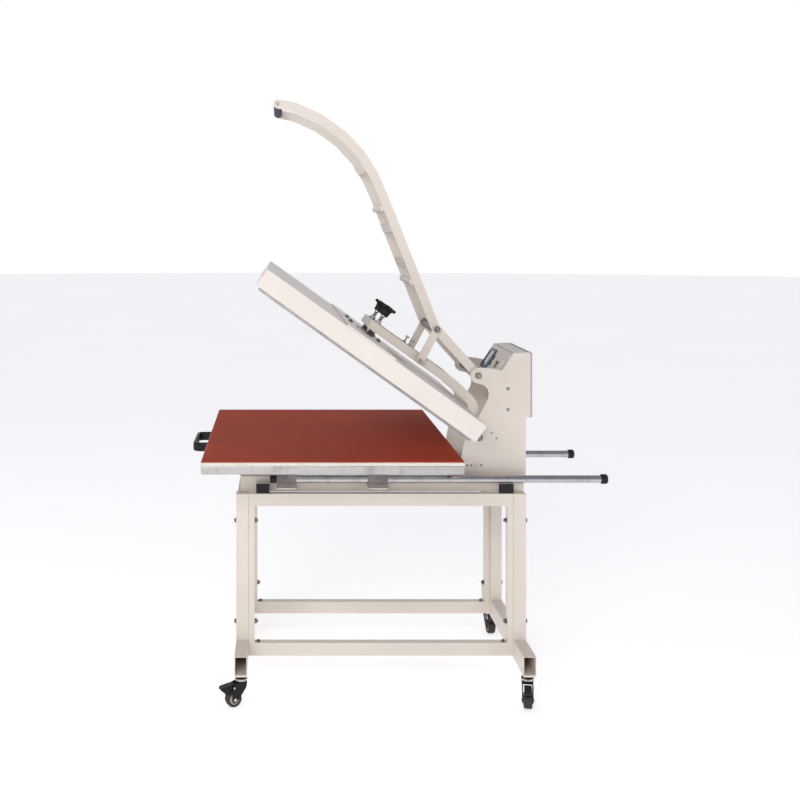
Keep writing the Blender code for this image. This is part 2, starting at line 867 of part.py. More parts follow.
# ---------------------------------------------------------------- head


def head_frame():
    return pivot("head_hinge", (0, *HEAD_PIVOT), (radians(-HEAD_TILT), 0, 0))


def carrier_arm_outline():
    """Profile of a head arm: a straight bar that bends down to the head pivot."""
    low, high = CARRIER_Z
    return [
        (CARRIER_FRONT, low),
        (-0.1800, low),
        (-0.1490, 0.0740),
        (-0.1070, 0.0710),
        (-0.0900, 0.0660),
        (-0.0800, 0.0560),
        (-0.0760, 0.0420),
        (-0.0620, 0.0220),
        (-0.0380, 0.0020),
        *arc((0.0, 0.0), 0.0250, 200, 412, 14),
        (-0.0240, 0.0450),
        (-0.0400, 0.0640),
        (-0.0560, 0.0810),
        (-0.0700, 0.0910),
        (-0.0860, 0.0975),
        (-0.1010, 0.1010),
        (-0.1180, 0.1035),
        (-0.1400, high - 0.0035),
        (-0.1700, high),
        (CARRIER_FRONT, high),
    ]


def build_carrier(frame):
    """The head's carrier: two bent arms, a front bar for the pressure screws and a second bar behind it."""
    arms = []
    for sign in (1, -1):
        arms.append(
            slab(
                f"carrier_arm{sign}",
                [carrier_arm_outline(), circle((0.0, 0.0), HEAD_SHAFT_RADIUS + BORE_CLEARANCE)],
                "X",
                sign * CARRIER_X[0],
                sign * CARRIER_X[1],
                PAINT,
                frame,
            )
        )
    half = CARRIER_X[0] + 0.005
    low, high = CARRIER_Z
    front = box(
        "carrier_front_bar",
        (-half, CARRIER_FRONT + 0.0005, low + 0.0005),
        (half, CARRIER_FRONT + FRONT_BAR, high - 0.0005),
        None,
        frame,
    )
    rear = box(
        "carrier_rear_bar",
        (-half, REAR_BAR[0], low + 0.0020),
        (half, REAR_BAR[1], high - 0.0010),
        None,
        frame,
    )
    arms[0].name = "head_carrier"
    fuse(arms[0], arms[1], front, rear)
    for sign in (1, -1):
        hole = rod(
            f"screw_hole{sign}",
            SCREW_RADIUS + BORE_CLEARANCE,
            0.060,
            "Z",
            (sign * SCREW_X, SCREW_Y, 0.096),
            None,
            frame,
            16,
        )
        cut(arms[0], hole)


def build_knob(side, sign, frame):
    """A pressure screw through the front bar with its star knob."""
    turn = pivot(f"{side}_knob_turn", (sign * SCREW_X, SCREW_Y, 0), parent=frame)
    washer = CARRIER_Z[1] + 0.031
    shank = SCREW_RADIUS
    turned(
        f"{side}_pressure_screw",
        [
            (shank, washer + 0.012),
            (shank, washer + 0.003),
            (0.0115, washer + 0.003),
            (0.0115, washer),
            (shank, washer),
            (shank, COVER_PAD[2] + GAP),
        ],
        "Z",
        (0, 0, 0),
        CHROME,
        turn,
        16,
    )
    hub_low = washer + 0.003 + GAP
    rim_low, rim_high = hub_low + 0.025, hub_low + 0.036
    knob = turned(
        f"{side}_star_knob",
        [(0.0120, rim_high + 0.002), (0.0200, rim_high - 0.002), (0.0165, rim_low), (0.0145, hub_low)],
        "Z",
        (0, 0, 0),
        BLACK,
        turn,
    )
    count = KNOB_LOBES * 6
    outline = []
    for i in range(count):
        angle = 2 * pi * i / count
        radius = KNOB_RADIUS - 0.0022 + 0.0022 * cos(KNOB_LOBES * angle)
        outline.append((radius * cos(angle), radius * sin(angle)))
    rim = slab(f"{side}_knob_rim", [outline], "Z", rim_low, rim_high, None, turn)
    fuse(knob, rim)
    socket = rod(f"{side}_knob_socket", 0.0070, 0.030, "Z", (0, 0, washer), None, turn, 16)
    cut(knob, socket)


def build_head():
    frame = head_frame()
    y0, y1, z0, z1 = COVER
    mesh = bpy.data.meshes.new("head_cover")
    bm = bmesh.new()
    bmesh.ops.create_cube(bm, size=1.0)
    bmesh.ops.scale(bm, vec=(2 * COVER_HALF, y1 - y0, z1 - z0), verts=bm.verts)
    floor = [face for face in bm.faces if face.normal.z < -0.5]
    bmesh.ops.delete(bm, geom=floor, context="FACES")
    edges = [edge for edge in bm.edges if not edge.is_boundary]
    bmesh.ops.bevel(bm, geom=edges, offset=0.002, segments=2, profile=0.5, affect="EDGES")
    bm.to_mesh(mesh)
    bm.free()
    cover = add_object("head_cover", mesh, HEAD_PAINT, frame)
    cover.location = (0, (y0 + y1) / 2, (z0 + z1) / 2)
    shell = cover.modifiers.new("sheet", "SOLIDIFY")
    shell.thickness = COVER_SHEET
    shell.offset = -1.0
    pad = box(
        "cover_pad",
        (-COVER_HALF + 0.0020, COVER_PAD[0], z1 - 0.0010),
        (COVER_HALF - 0.0020, COVER_PAD[1], COVER_PAD[2]),
        None,
        frame,
    )
    fuse(cover, pad)
    box("heater_plate", (-HEATER_HALF, HEATER[0], HEATER[2]), (HEATER_HALF, HEATER[1], HEATER[3]),
        ALUMINIUM, frame, 0.002, 1)
    build_carrier(frame)
    build_knob("right", 1, frame)
    build_knob("left", -1, frame)


# ---------------------------------------------------------------- handle and links


def rotate(point, angle):
    """Turn a (y, z) point about the X axis by an angle in degrees."""
    turn = radians(angle)
    return (point[0] * cos(turn) - point[1] * sin(turn), point[0] * sin(turn) + point[1] * cos(turn))


def link_pivots():
    """Where the link joins the handle and the head while the press stands open."""
    offset = rotate(LINK_ANCHOR, -HEAD_TILT)
    lower = (HEAD_PIVOT[0] + offset[0], HEAD_PIVOT[1] + offset[1])
    dy, dz = lower[0] - HANDLE_PIVOT[0], lower[1] - HANDLE_PIVOT[1]
    span = hypot(dy, dz)
    spread = acos((CRANK**2 + span**2 - LINK**2) / (2 * CRANK * span))
    angle = atan2(dz, dy) - spread
    upper = (HANDLE_PIVOT[0] + CRANK * cos(angle), HANDLE_PIVOT[1] + CRANK * sin(angle))
    return upper, lower


def arm_path():
    """Centre line of a handle arm, from the handle pivot to the grip."""
    upper, _ = link_pivots()
    return [HANDLE_PIVOT, upper, ARM_SHOULDER, ARM_ELBOW, *ARM_BEND]


def arm_heading(point):
    """Direction of the arm at a point on its centre line, in radians."""
    path = arm_path()[2:]
    above = next(i for i, (y, z) in enumerate(path) if z > point[1])
    (y0, z0), (y1, z1) = path[above - 1], path[above]
    return atan2(z1 - z0, y1 - y0)


def build_handle():
    """Two bent arms tied by flat bars and tubes, with a rubber grip across their ends."""
    swing = pivot("handle_hinge", (0, *HANDLE_PIVOT))
    shift = Matrix.Translation((0, -HANDLE_PIVOT[0], -HANDLE_PIVOT[1]))
    upper, _ = link_pivots()
    path = arm_path()
    arms = []
    for sign in (1, -1):
        arms.append(
            slab(
                f"handle_arm{sign}",
                [
                    strip(path, ARM_HALF_WIDTH),
                    circle(HANDLE_PIVOT, SHAFT_RADIUS + BORE_CLEARANCE),
                    circle(upper, SHAFT_RADIUS + BORE_CLEARANCE),
                ],
                "X",
                sign * ARM_X[0],
                sign * ARM_X[1],
                PAINT,
                swing,
            )
        )
    half = ARM_X[0] + 0.004
    members = [arms[1]]
    for i, point in enumerate(FLAT_BARS):
        bar = box(f"flat_bar_{i}", (-half, -0.0140, -0.0040), (half, 0.0140, 0.0040), None, swing)
        bar.location = (0, *point)
        bar.rotation_euler = (arm_heading(point), 0, 0)
        members.append(bar)
    for i, point in enumerate(ROUND_BARS):
        members.append(rod(f"cross_tube_{i}", 0.0110, 2 * half, "X", (0, *point), None, swing, 20))
    frame = arms[0]
    frame.name = "handle_frame"
    fuse(frame, *members)
    grip_half = ARM_X[0] - 0.0006
    grip = turned(
        "handle_grip",
        [
            (GRIP_RADIUS - 0.001, grip_half),
            (GRIP_RADIUS + 0.0008, grip_half - 0.002),
            (GRIP_RADIUS, grip_half - 0.008),
            (GRIP_RADIUS, -grip_half + 0.008),
            (GRIP_RADIUS + 0.0008, -grip_half + 0.002),
            (GRIP_RADIUS - 0.001, -grip_half),
        ],
        "X",
        (0, *path[-1]),
        GRIP_RUBBER,
        swing,
    )
    for obj in (*members, frame, grip):
        obj.matrix_parent_inverse = shift


def build_links():
    """Two toggle links on a cross shaft; each carries its lower pin, which stops short of the head arm."""
    upper, lower = link_pivots()
    swing = pivot("link_hinge", (0, *upper))
    shift = Matrix.Translation((0, -upper[0], -upper[1]))
    pieces = []
    for side, sign in (("right", 1), ("left", -1)):
        link = slab(
            f"{side}_toggle_link",
            [strip([upper, lower], 0.0130), circle(upper, SHAFT_RADIUS + BORE_CLEARANCE)],
            "X",
            sign * PLATE_INNER,
            sign * PLATE_OUTER,
            PAINT,
            swing,
        )
        head = rod(f"pin_head{sign}", 0.0085, 0.008, "X", (sign * 0.1710, *lower), None, swing, 16)
        shank = rod(f"pin_shank{sign}", 0.0075, 0.015, "X", (sign * 0.1580, *lower), None, swing, 16)
        fuse(link, head, shank)
        pieces += [link, head, shank]
    tube = 0.0140
    in_arm, end = ARM_X[0] - 0.0006, SHAFT_END
    profile = [
        (SHAFT_RADIUS, end),
        (SHAFT_RADIUS, in_arm),
        (tube, in_arm),
        (tube, -in_arm),
        (SHAFT_RADIUS, -in_arm),
        (SHAFT_RADIUS, -end),
    ]
    shaft = turned("link_shaft", profile, "X", (0, *upper), STEEL, swing)
    for obj in (*pieces, shaft):
        obj.matrix_parent_inverse = shift


# ---------------------------------------------------------------- assembly


def smooth_round_pieces():
    for obj in PRESS.objects:
        if obj.type == "MESH":
            obj.data.shade_smooth()
            obj.data.set_sharp_from_angle(angle=radians(35))


build_stand()
build_casters()
build_base()
build_bearing_blocks()
build_table()
build_upright()
build_controls()
build_head()
build_handle()
build_links()
smooth_round_pieces()
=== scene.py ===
"""Looks of a clamshell heat press: finishes, fasteners, pads, knobs, springs, casters and studio."""

import json
import logging
from dataclasses import dataclass, field
from enum import Enum
from math import cos, pi, radians, sin
from typing import Any, Iterable, Sequence

import bmesh
import bpy
from mathutils import Matrix, Vector, noise


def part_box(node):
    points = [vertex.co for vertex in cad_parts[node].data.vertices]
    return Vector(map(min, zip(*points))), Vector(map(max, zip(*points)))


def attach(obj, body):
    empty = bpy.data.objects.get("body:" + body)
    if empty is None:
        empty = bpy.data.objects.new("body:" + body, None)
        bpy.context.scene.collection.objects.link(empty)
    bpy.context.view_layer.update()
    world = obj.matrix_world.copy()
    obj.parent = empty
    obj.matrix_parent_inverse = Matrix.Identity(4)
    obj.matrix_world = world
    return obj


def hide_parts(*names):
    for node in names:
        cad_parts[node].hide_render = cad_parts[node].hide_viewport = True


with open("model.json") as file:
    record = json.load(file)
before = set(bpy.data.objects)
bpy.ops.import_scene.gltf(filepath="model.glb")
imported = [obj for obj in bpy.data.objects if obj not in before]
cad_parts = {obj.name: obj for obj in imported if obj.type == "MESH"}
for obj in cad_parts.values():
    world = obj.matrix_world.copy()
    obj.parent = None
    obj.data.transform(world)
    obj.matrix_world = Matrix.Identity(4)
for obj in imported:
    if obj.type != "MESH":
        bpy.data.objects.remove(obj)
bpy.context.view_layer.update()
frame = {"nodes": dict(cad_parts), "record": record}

log = logging.getLogger("heat_press")
Colour = tuple[float, float, float]
Profile = Sequence[tuple[float, float]]
SIDES = {"right": 1.0, "left": -1.0}
SHARP_ANGLE = radians(32)


# ------------------------------------------------------------------ shader building


class Wire:
    """A shader socket, or a plain number, that can be used in Python expressions."""

    def __init__(self, recipe: "Recipe", socket: Any) -> None:
        """Keeps the socket and the recipe it belongs to."""
        self.recipe = recipe
        self.socket = socket

    def _math(self, operation: str, first: Any, second: Any = 0.0) -> "Wire":
        """Adds a Math node.

        Args:
            operation: The node's operation.
            first: The first value or wire.
            second: The second value or wire.

        Returns:
            The node's output.
        """
        return self.recipe.node("ShaderNodeMath", {"operation": operation}, {0: first, 1: second})

    def __add__(self, other: Any) -> "Wire":
        """Sum."""
        return self._math("ADD", self, other)

    __radd__ = __add__

    def __mul__(self, other: Any) -> "Wire":
        """Product."""
        return self._math("MULTIPLY", self, other)

    __rmul__ = __mul__

    def __sub__(self, other: Any) -> "Wire":
        """Difference."""
        return self._math("SUBTRACT", self, other)

    def __rsub__(self, other: Any) -> "Wire":
        """Reflected difference."""
        return self._math("SUBTRACT", other, self)

    def limited(self) -> "Wire":
        """The value held between 0 and 1."""
        return self.recipe.node("ShaderNodeClamp", {}, {0: self})

    def above(self, start: float, end: float) -> "Wire":
        """A smooth step.

        Args:
            start: Where the step leaves 0.
            end: Where it reaches 1.

        Returns:
            The stepped value.
        """
        settings = {"interpolation_type": "SMOOTHSTEP"}
        return self.recipe.node("ShaderNodeMapRange", settings, {0: self, 1: start, 2: end})


class Recipe:
    """A material under construction."""

    def __init__(self, name: str) -> None:
        """Starts a material with one Principled shader.

        Args:
            name: The material's name.
        """
        self.material = bpy.data.materials.new(name)
        self.material.use_nodes = True
        self.tree = self.material.node_tree
        self.shader = self.tree.nodes["Principled BSDF"]
        coordinates = self.tree.nodes.new("ShaderNodeTexCoord")
        self.place = Wire(self, coordinates.outputs["Object"])

    def node(self, kind: str, settings: dict[str, Any], inputs: dict[Any, Any], out: Any = 0) -> Wire:
        """Adds any node.

        Args:
            kind: The node's type.
            settings: Properties that are set before the sockets.
            inputs: Values or wires for the sockets, by index or name.
            out: Index or name of the output that is used.

        Returns:
            That output.
        """
        added = self.tree.nodes.new(kind)
        for key, value in settings.items():
            setattr(added, key, value)
        for key, value in inputs.items():
            if isinstance(value, Wire):
                self.tree.links.new(value.socket, added.inputs[key])
            elif isinstance(value, tuple) and len(value) == 3 and added.inputs[key].type == "RGBA":
                added.inputs[key].default_value = (*value, 1.0)
            else:
                added.inputs[key].default_value = value
        return Wire(self, added.outputs[out])

    def stretched(self, scale: tuple[float, float, float]) -> Wire:
        """Object coordinates, stretched.

        Args:
            scale: Factor along each axis.

        Returns:
            The coordinates.
        """
        return self.node("ShaderNodeMapping", {}, {"Vector": self.place, "Scale": scale})

    def noise(self, scale: float, detail: float = 3.0, rough: float = 0.5, place: Wire | None = None) -> Wire:
        """Noise between 0 and 1.

        Args:
            scale: Features per metre.
            detail: Octaves.
            rough: Strength of the finer octaves.
            place: Coordinates, or None for Object coordinates.

        Returns:
            The noise value.
        """
        inputs = {"Vector": place or self.place, "Scale": scale, "Detail": detail, "Roughness": rough}
        return self.node("ShaderNodeTexNoise", {}, inputs)

    def blend(self, factor: Any, first: Any, second: Any) -> Wire:
        """Mixes two colours.

        Args:
            factor: 0 for the first, 1 for the second.
            first: A colour or wire.
            second: A colour or wire.

        Returns:
            The mixed colour.
        """
        settings = {"data_type": "RGBA"}
        return self.node("ShaderNodeMix", settings, {0: factor, 6: first, 7: second}, 2)

    def edges(self, radius: float) -> Wire:
        """How close a point is to an outer edge, from the angle between true and rounded normals.

        Args:
            radius: How far from the edge it reaches, in metres.

        Returns:
            0 on flats, towards 1 at an edge.
        """
        rounded = self.node("ShaderNodeBevel", {"samples": 4}, {"Radius": radius})
        straight = self.node("ShaderNodeNewGeometry", {}, {}, "Normal")
        facing = self.node("ShaderNodeVectorMath", {"operation": "DOT_PRODUCT"}, {0: rounded, 1: straight}, 1)
        return ((1 - facing) * 4.0).limited()

    def bump(self, height: Wire, strength: float, distance: float) -> None:
        """Feeds a height into the shader's normal.

        Args:
            height: The height between 0 and 1.
            strength: How strong it shows.
            distance: Height in metres that 1 stands for.
        """
        inputs = {"Height": height, "Strength": strength, "Distance": distance}
        normal = self.node("ShaderNodeBump", {}, inputs)
        self.tree.links.new(normal.socket, self.shader.inputs["Normal"])

    def finish(self, **values: Any) -> bpy.types.Material:
        """Sets the shader's sockets.

        Args:
            **values: Socket names with underscores for spaces, and their values or wires.

        Returns:
            The material.
        """
        for key, value in values.items():
            socket = self.shader.inputs[key.replace("_", " ")]
            if isinstance(value, Wire):
                self.tree.links.new(value.socket, socket)
            elif isinstance(value, tuple):
                socket.default_value = (*value, 1.0)
            else:
                socket.default_value = value
        return self.material


class Sky(Recipe):
    """The air round the press, under construction."""

    def __init__(self, name: str) -> None:
        """Starts a world whose place is the direction looked in.

        Args:
            name: The world's name.
        """
        self.world = bpy.data.worlds.new(name)
        self.world.use_nodes = True
        self.tree = self.world.node_tree
        coordinates = self.tree.nodes.new("ShaderNodeTexCoord")
        self.place = Wire(self, coordinates.outputs["Generated"])

    def surround(self, behind: Colour, around: Colour, overhead: Colour) -> bpy.types.World:
        """A tent that is white behind the press, dimmer around it and overhead.

        Args:
            behind: Its colour on the side away from the operator's right.
            around: Its colour on the other sides.
            overhead: Its colour straight above.

        Returns:
            The world.
        """
        across = self.node("ShaderNodeSeparateXYZ", {}, {0: self.place}, 0)
        height = self.node("ShaderNodeSeparateXYZ", {}, {0: self.place}, 2)
        tone = self.blend(across.above(-0.86, -0.25), behind, around)
        tone = self.blend(height.above(0.36, 0.80), tone, overhead)
        self.tree.links.new(tone.socket, self.tree.nodes["Background"].inputs["Color"])
        return self.world


@dataclass(frozen=True)
class Finish:
    """A surface finish; each kind builds its own material once."""

    name: str
    colour: Colour
    roughness: float = 0.45

    def build(self, recipe: Recipe) -> bpy.types.Material:
        """Fills in the recipe.

        Args:
            recipe: The material under construction.

        Returns:
            The finished material.
        """
        return recipe.finish(Base_Color=self.colour, Roughness=self.roughness)

    def material(self) -> bpy.types.Material:
        """The material, built at its first use."""
        found = bpy.data.materials.get(self.name)
        return found if found else self.build(Recipe(self.name))

    def tinted(self, factor: float) -> Colour:
        """The finish's colour, lighter or darker."""
        return tuple(min(1.0, channel * factor) for channel in self.colour)


@dataclass(frozen=True)
class PowderCoat(Finish):
    """Powder-coated steel: orange peel, faint clouding, handling marks, thin coat at the edges."""

    edge: Colour = (0.50, 0.46, 0.41)

    def build(self, recipe: Recipe) -> bpy.types.Material:
        """Coat with peel, clouds and worn edges.

        Args:
            recipe: The material under construction.

        Returns:
            The finished material.
        """
        clouds = recipe.noise(2.2, 4.0, 0.6)
        streaks = recipe.noise(9.0, 5.0, 0.65, recipe.stretched((1.0, 1.0, 0.25)))
        peel = recipe.noise(620.0, 2.0)
        grain = recipe.noise(60.0, 6.0, 0.7)
        coat = recipe.blend(clouds.above(0.30, 0.72), self.tinted(0.955), self.tinted(1.03))
        coat = recipe.blend(streaks.above(0.58, 0.82) * 0.22, coat, self.tinted(0.86))
        specks = recipe.noise(240.0, 1.0).above(0.76, 0.80)
        coat = recipe.blend(specks * 0.35, coat, self.tinted(0.70))
        worn = (recipe.edges(0.0016) * grain.above(0.42, 0.66)).limited()
        coat = recipe.blend(worn * 0.75, coat, self.edge)
        gloss = self.roughness + clouds * 0.10 + worn * 0.15 - streaks * 0.05
        recipe.bump(peel * 0.8 + grain * 0.2, 0.22, 0.0004)
        return recipe.finish(Base_Color=coat, Roughness=gloss, Coat_Weight=0.12, Coat_Roughness=0.3)


class Lay(Enum):
    """Direction that a metal's brush marks run in."""

    ALONG_X = (1.5, 90.0, 90.0)
    ALONG_Y = (90.0, 1.5, 90.0)
    TURNED = (40.0, 40.0, 40.0)


@dataclass(frozen=True)
class BareMetal(Finish):
    """Bare metal with brush marks, oxide clouds and bright edges."""

    lay: Lay = Lay.ALONG_Y
    oxide: Colour = (0.22, 0.22, 0.23)
    stain: float = 0.35

    def build(self, recipe: Recipe) -> bpy.types.Material:
        """Brushed metal.

        Args:
            recipe: The material under construction.

        Returns:
            The finished material.
        """
        brushed = recipe.noise(6.0, 6.0, 0.7, recipe.stretched(self.lay.value))
        clouds = recipe.noise(14.0, 5.0, 0.62)
        blotch = recipe.noise(38.0, 4.0, 0.6, recipe.stretched((1.0, 0.35, 1.6)))
        tone = recipe.blend(brushed.above(0.25, 0.75), self.tinted(0.82), self.tinted(1.12))
        dull = (clouds.above(0.45, 0.75) * self.stain + blotch.above(0.60, 0.74) * self.stain).limited()
        tone = recipe.blend(dull, tone, self.oxide)
        tone = recipe.blend(recipe.edges(0.0010) * 0.6, tone, self.tinted(1.35))
        recipe.bump(brushed, 0.25, 0.0003)
        gloss = self.roughness + dull * 0.25 + brushed * 0.08
        return recipe.finish(Base_Color=tone, Roughness=gloss, Metallic=0.95)


@dataclass(frozen=True)
class Chrome(Finish):
    """Ground and chromed steel with an oil film and fine scratches."""

    def build(self, recipe: Recipe) -> bpy.types.Material:
        """Chrome.

        Args:
            recipe: The material under construction.

        Returns:
            The finished material.
        """
        film = recipe.noise(26.0, 4.0, 0.6)
        scratch = recipe.noise(40.0, 3.0, 0.6, recipe.stretched((30.0, 0.8, 30.0)))
        tone = recipe.blend(film.above(0.4, 0.7), self.colour, self.tinted(0.80))
        gloss = self.roughness + film * 0.08 + scratch.above(0.6, 0.8) * 0.10
        recipe.bump(scratch, 0.08, 0.0001)
        return recipe.finish(Base_Color=tone, Roughness=gloss, Metallic=1.0)


@dataclass(frozen=True)
class Moulded(Finish):
    """Moulded plastic or rubber with a fine grain, dust and rubbed edges."""

    grain: float = 900.0
    dust: Colour = (0.30, 0.28, 0.26)

    def build(self, recipe: Recipe) -> bpy.types.Material:
        """Moulding grain.

        Args:
            recipe: The material under construction.

        Returns:
            The finished material.
        """
        fine = recipe.noise(self.grain, 2.0, 0.6)
        clouds = recipe.noise(30.0, 5.0, 0.65)
        tone = recipe.blend(clouds.above(0.35, 0.75), self.tinted(0.85), self.tinted(1.25))
        dusty = (clouds.above(0.56, 0.84) * 0.07 + recipe.edges(0.0012) * 0.10).limited()
        tone = recipe.blend(dusty, tone, self.dust)
        recipe.bump(fine, 0.35, 0.0003)
        return recipe.finish(
            Base_Color=tone, Roughness=self.roughness + clouds * 0.12, Specular_IOR_Level=0.22
        )


@dataclass(frozen=True)
class SiliconeRubber(Finish):
    """Silicone pad skin: fine pebble, heat-darkened clouds, pale rubbed edge."""

    def build(self, recipe: Recipe) -> bpy.types.Material:
        """Silicone.

        Args:
            recipe: The material under construction.

        Returns:
            The finished material.
        """
        pebble = recipe.node("ShaderNodeTexVoronoi", {}, {"Vector": recipe.place, "Scale": 520.0})
        clouds = recipe.noise(3.4, 5.0, 0.62)
        fine = recipe.noise(150.0, 3.0, 0.6)
        tone = recipe.blend(clouds.above(0.30, 0.74), self.tinted(0.88), self.tinted(1.10))
        tone = recipe.blend(fine.above(0.45, 0.8) * 0.35, tone, self.tinted(0.80))
        lint = recipe.noise(330.0, 1.0).above(0.765, 0.80)
        tone = recipe.blend(lint * 0.35, tone, (0.62, 0.36, 0.28))
        tone = recipe.blend(recipe.edges(0.0025) * 0.35, tone, self.tinted(1.5))
        recipe.bump(pebble * 0.6 + fine * 0.4, 0.30, 0.0005)
        gloss = self.roughness + clouds * 0.12
        return recipe.finish(Base_Color=tone, Roughness=gloss, Specular_IOR_Level=0.12)


@dataclass(frozen=True)
class OpenFoam(Finish):
    """Cut edge of a cream sponge layer: open cells with painted shade in their pores, and a little dirt."""

    def build(self, recipe: Recipe) -> bpy.types.Material:
        """Sponge.

        Args:
            recipe: The material under construction.

        Returns:
            The finished material.
        """
        cells = recipe.node("ShaderNodeTexVoronoi", {}, {"Vector": recipe.place, "Scale": 700.0})
        clouds = recipe.noise(18.0, 5.0, 0.65)
        # Painted shade: the cell centres are darkened to stand for shade inside the open pores.
        tone = recipe.blend(cells.above(0.25, 0.7), self.tinted(0.62), self.colour)
        tone = recipe.blend(clouds.above(0.50, 0.78) * 0.40, tone, (0.52, 0.42, 0.30))
        recipe.bump(cells, 0.7, 0.0008)
        return recipe.finish(Base_Color=tone, Roughness=0.95, Subsurface_Weight=0.05)


@dataclass(frozen=True)
class GlassyPanel(Finish):
    """Dark display glass with a faint tint from behind and finger marks."""

    def build(self, recipe: Recipe) -> bpy.types.Material:
        """Display glass.

        Args:
            recipe: The material under construction.

        Returns:
            The finished material.
        """
        smudge = recipe.noise(42.0, 4.0, 0.6)
        tone = recipe.blend(smudge.above(0.4, 0.8), self.colour, self.tinted(1.8))
        return recipe.finish(Base_Color=tone, Roughness=0.10 + smudge * 0.18, Coat_Weight=0.6)


PAINT = PowderCoat("cream_powder_coat", (0.685, 0.625, 0.560), 0.46)
COVER_PAINT = PowderCoat("pale_cover_coat", (0.735, 0.680, 0.635), 0.44)
SHEET_PAINT = PowderCoat("blue_grey_coat", (0.30, 0.35, 0.40), 0.42, (0.45, 0.47, 0.50))
ALUMINIUM = BareMetal("milled_aluminium", (0.52, 0.51, 0.50), 0.40, Lay.ALONG_Y, (0.20, 0.20, 0.20), 0.55)
HEATER = BareMetal("cast_heater", (0.42, 0.41, 0.41), 0.42, Lay.ALONG_X, (0.16, 0.15, 0.15), 0.4)
ZINC = BareMetal("zinc_plate", (0.56, 0.56, 0.57), 0.34, Lay.TURNED, (0.25, 0.25, 0.25), 0.4)
BLACKED = BareMetal("blacked_steel", (0.17, 0.16, 0.16), 0.38, Lay.TURNED, (0.06, 0.06, 0.06), 0.4)
STEEL = BareMetal("machined_steel", (0.36, 0.35, 0.34), 0.34, Lay.TURNED, (0.14, 0.14, 0.13), 0.4)
HOUSING = BareMetal("cast_housing", (0.25, 0.225, 0.22), 0.50, Lay.ALONG_Y, (0.14, 0.12, 0.12), 0.5)
ROD_CHROME = Chrome("rod_chrome", (0.52, 0.51, 0.53), 0.08)
BRIGHT = Chrome("bright_thread", (0.60, 0.60, 0.62), 0.20)
BLACK = Moulded("black_moulding", (0.009, 0.0085, 0.009), 0.38)
CAP_GREY = Moulded("dark_grey_cap", (0.016, 0.014, 0.017), 0.50)
GRIP = Moulded("grip_rubber", (0.085, 0.078, 0.092), 0.72, 420.0)
TREAD = Moulded("caster_tread", (0.050, 0.038, 0.032), 0.62, 500.0, (0.22, 0.18, 0.15))
HUB = Moulded("beige_hub", (0.58, 0.50, 0.41), 0.48, 700.0, (0.40, 0.34, 0.28))
ROCKER = Moulded("brown_rocker", (0.13, 0.055, 0.035), 0.30, 1200.0)
BEZEL = Moulded("blue_bezel", (0.055, 0.10, 0.24), 0.30, 1100.0, (0.20, 0.26, 0.40))
DISPLAY = GlassyPanel("display_glass", (0.012, 0.014, 0.022))
RED_PAD = SiliconeRubber("brick_red_silicone", (0.47, 0.062, 0.026), 0.66)
SPONGE = OpenFoam("cream_sponge", (0.86, 0.83, 0.76))
SHADOW = Moulded("unlit_hollow", (0.010, 0.010, 0.010), 0.90)


# ------------------------------------------------------------------ mesh building


def ring_shell(sections: Sequence[Sequence[Vector]], closed: bool = False) -> bmesh.types.BMesh:
    """Joins rings of equal length into one skin.

    Args:
        sections: The rings, in order.
        closed: True joins the last ring to the first; False caps both ends.

    Returns:
        The skin, facing outwards.
    """
    shell = bmesh.new()
    rings = [[shell.verts.new(point) for point in section] for section in sections]
    count = len(rings[0])
    pairs = list(zip(rings, rings[1:]))
    if closed:
        pairs.append((rings[-1], rings[0]))
    for low, high in pairs:
        for i in range(count):
            j = (i + 1) % count
            shell.faces.new((low[i], low[j], high[j], high[i]))
    if not closed:
        shell.faces.new(rings[0][::-1])
        shell.faces.new(rings[-1])
    bmesh.ops.recalc_face_normals(shell, faces=shell.faces)
    return shell


def turned_rings(profile: Profile, steps: int) -> list[list[Vector]]:
    """Rings about Z.

    Args:
        profile: Radius and height of each ring.
        steps: Sides of a ring.

    Returns:
        The rings.
    """
    turns = [2 * pi * i / steps for i in range(steps)]
    return [[Vector((r * cos(turn), r * sin(turn), h)) for turn in turns] for r, h in profile]


def revolved(profile: Profile, steps: int = 48) -> bmesh.types.BMesh:
    """A solid of revolution about Z, from a profile that runs from one end to the other."""
    return ring_shell(turned_rings(profile, steps))


def hollow_ring(profile: Profile, steps: int = 48) -> bmesh.types.BMesh:
    """A ring about Z from a closed profile."""
    return ring_shell(turned_rings(profile, steps), closed=True)


def rounded_slab(width: float, depth: float, height: float, corner: float, edge: float) -> bmesh.types.BMesh:
    """A slab about the origin with round corners in plan and softened edges.

    Args:
        width: Size along X.
        depth: Size along Y.
        height: Size along Z.
        corner: Plan corner radius.
        edge: Softening of the top and bottom edges.

    Returns:
        The slab.
    """
    turns = 5
    sections = []
    low_levels = [(inset, -0.5) for inset in (edge, 0.3 * edge, 0.0)]
    high_levels = [(inset, 0.5) for inset in (0.0, 0.3 * edge, edge)]
    for inset, level in low_levels + high_levels:
        lift = {edge: 0.0, 0.3 * edge: 0.3 * edge, 0.0: edge}[inset]
        h = level * height + (lift if level < 0 else -lift)
        ring = []
        for quarter, (sx, sy) in enumerate(((1, 1), (-1, 1), (-1, -1), (1, -1))):
            for i in range(turns + 1):
                angle = pi / 2 * (quarter + i / turns)
                radius = max(corner - inset, 0.0002)
                x = sx * (width / 2 - corner) + radius * cos(angle)
                y = sy * (depth / 2 - corner) + radius * sin(angle)
                ring.append(Vector((x, y, h)))
        sections.append(ring)
    return ring_shell(sections)


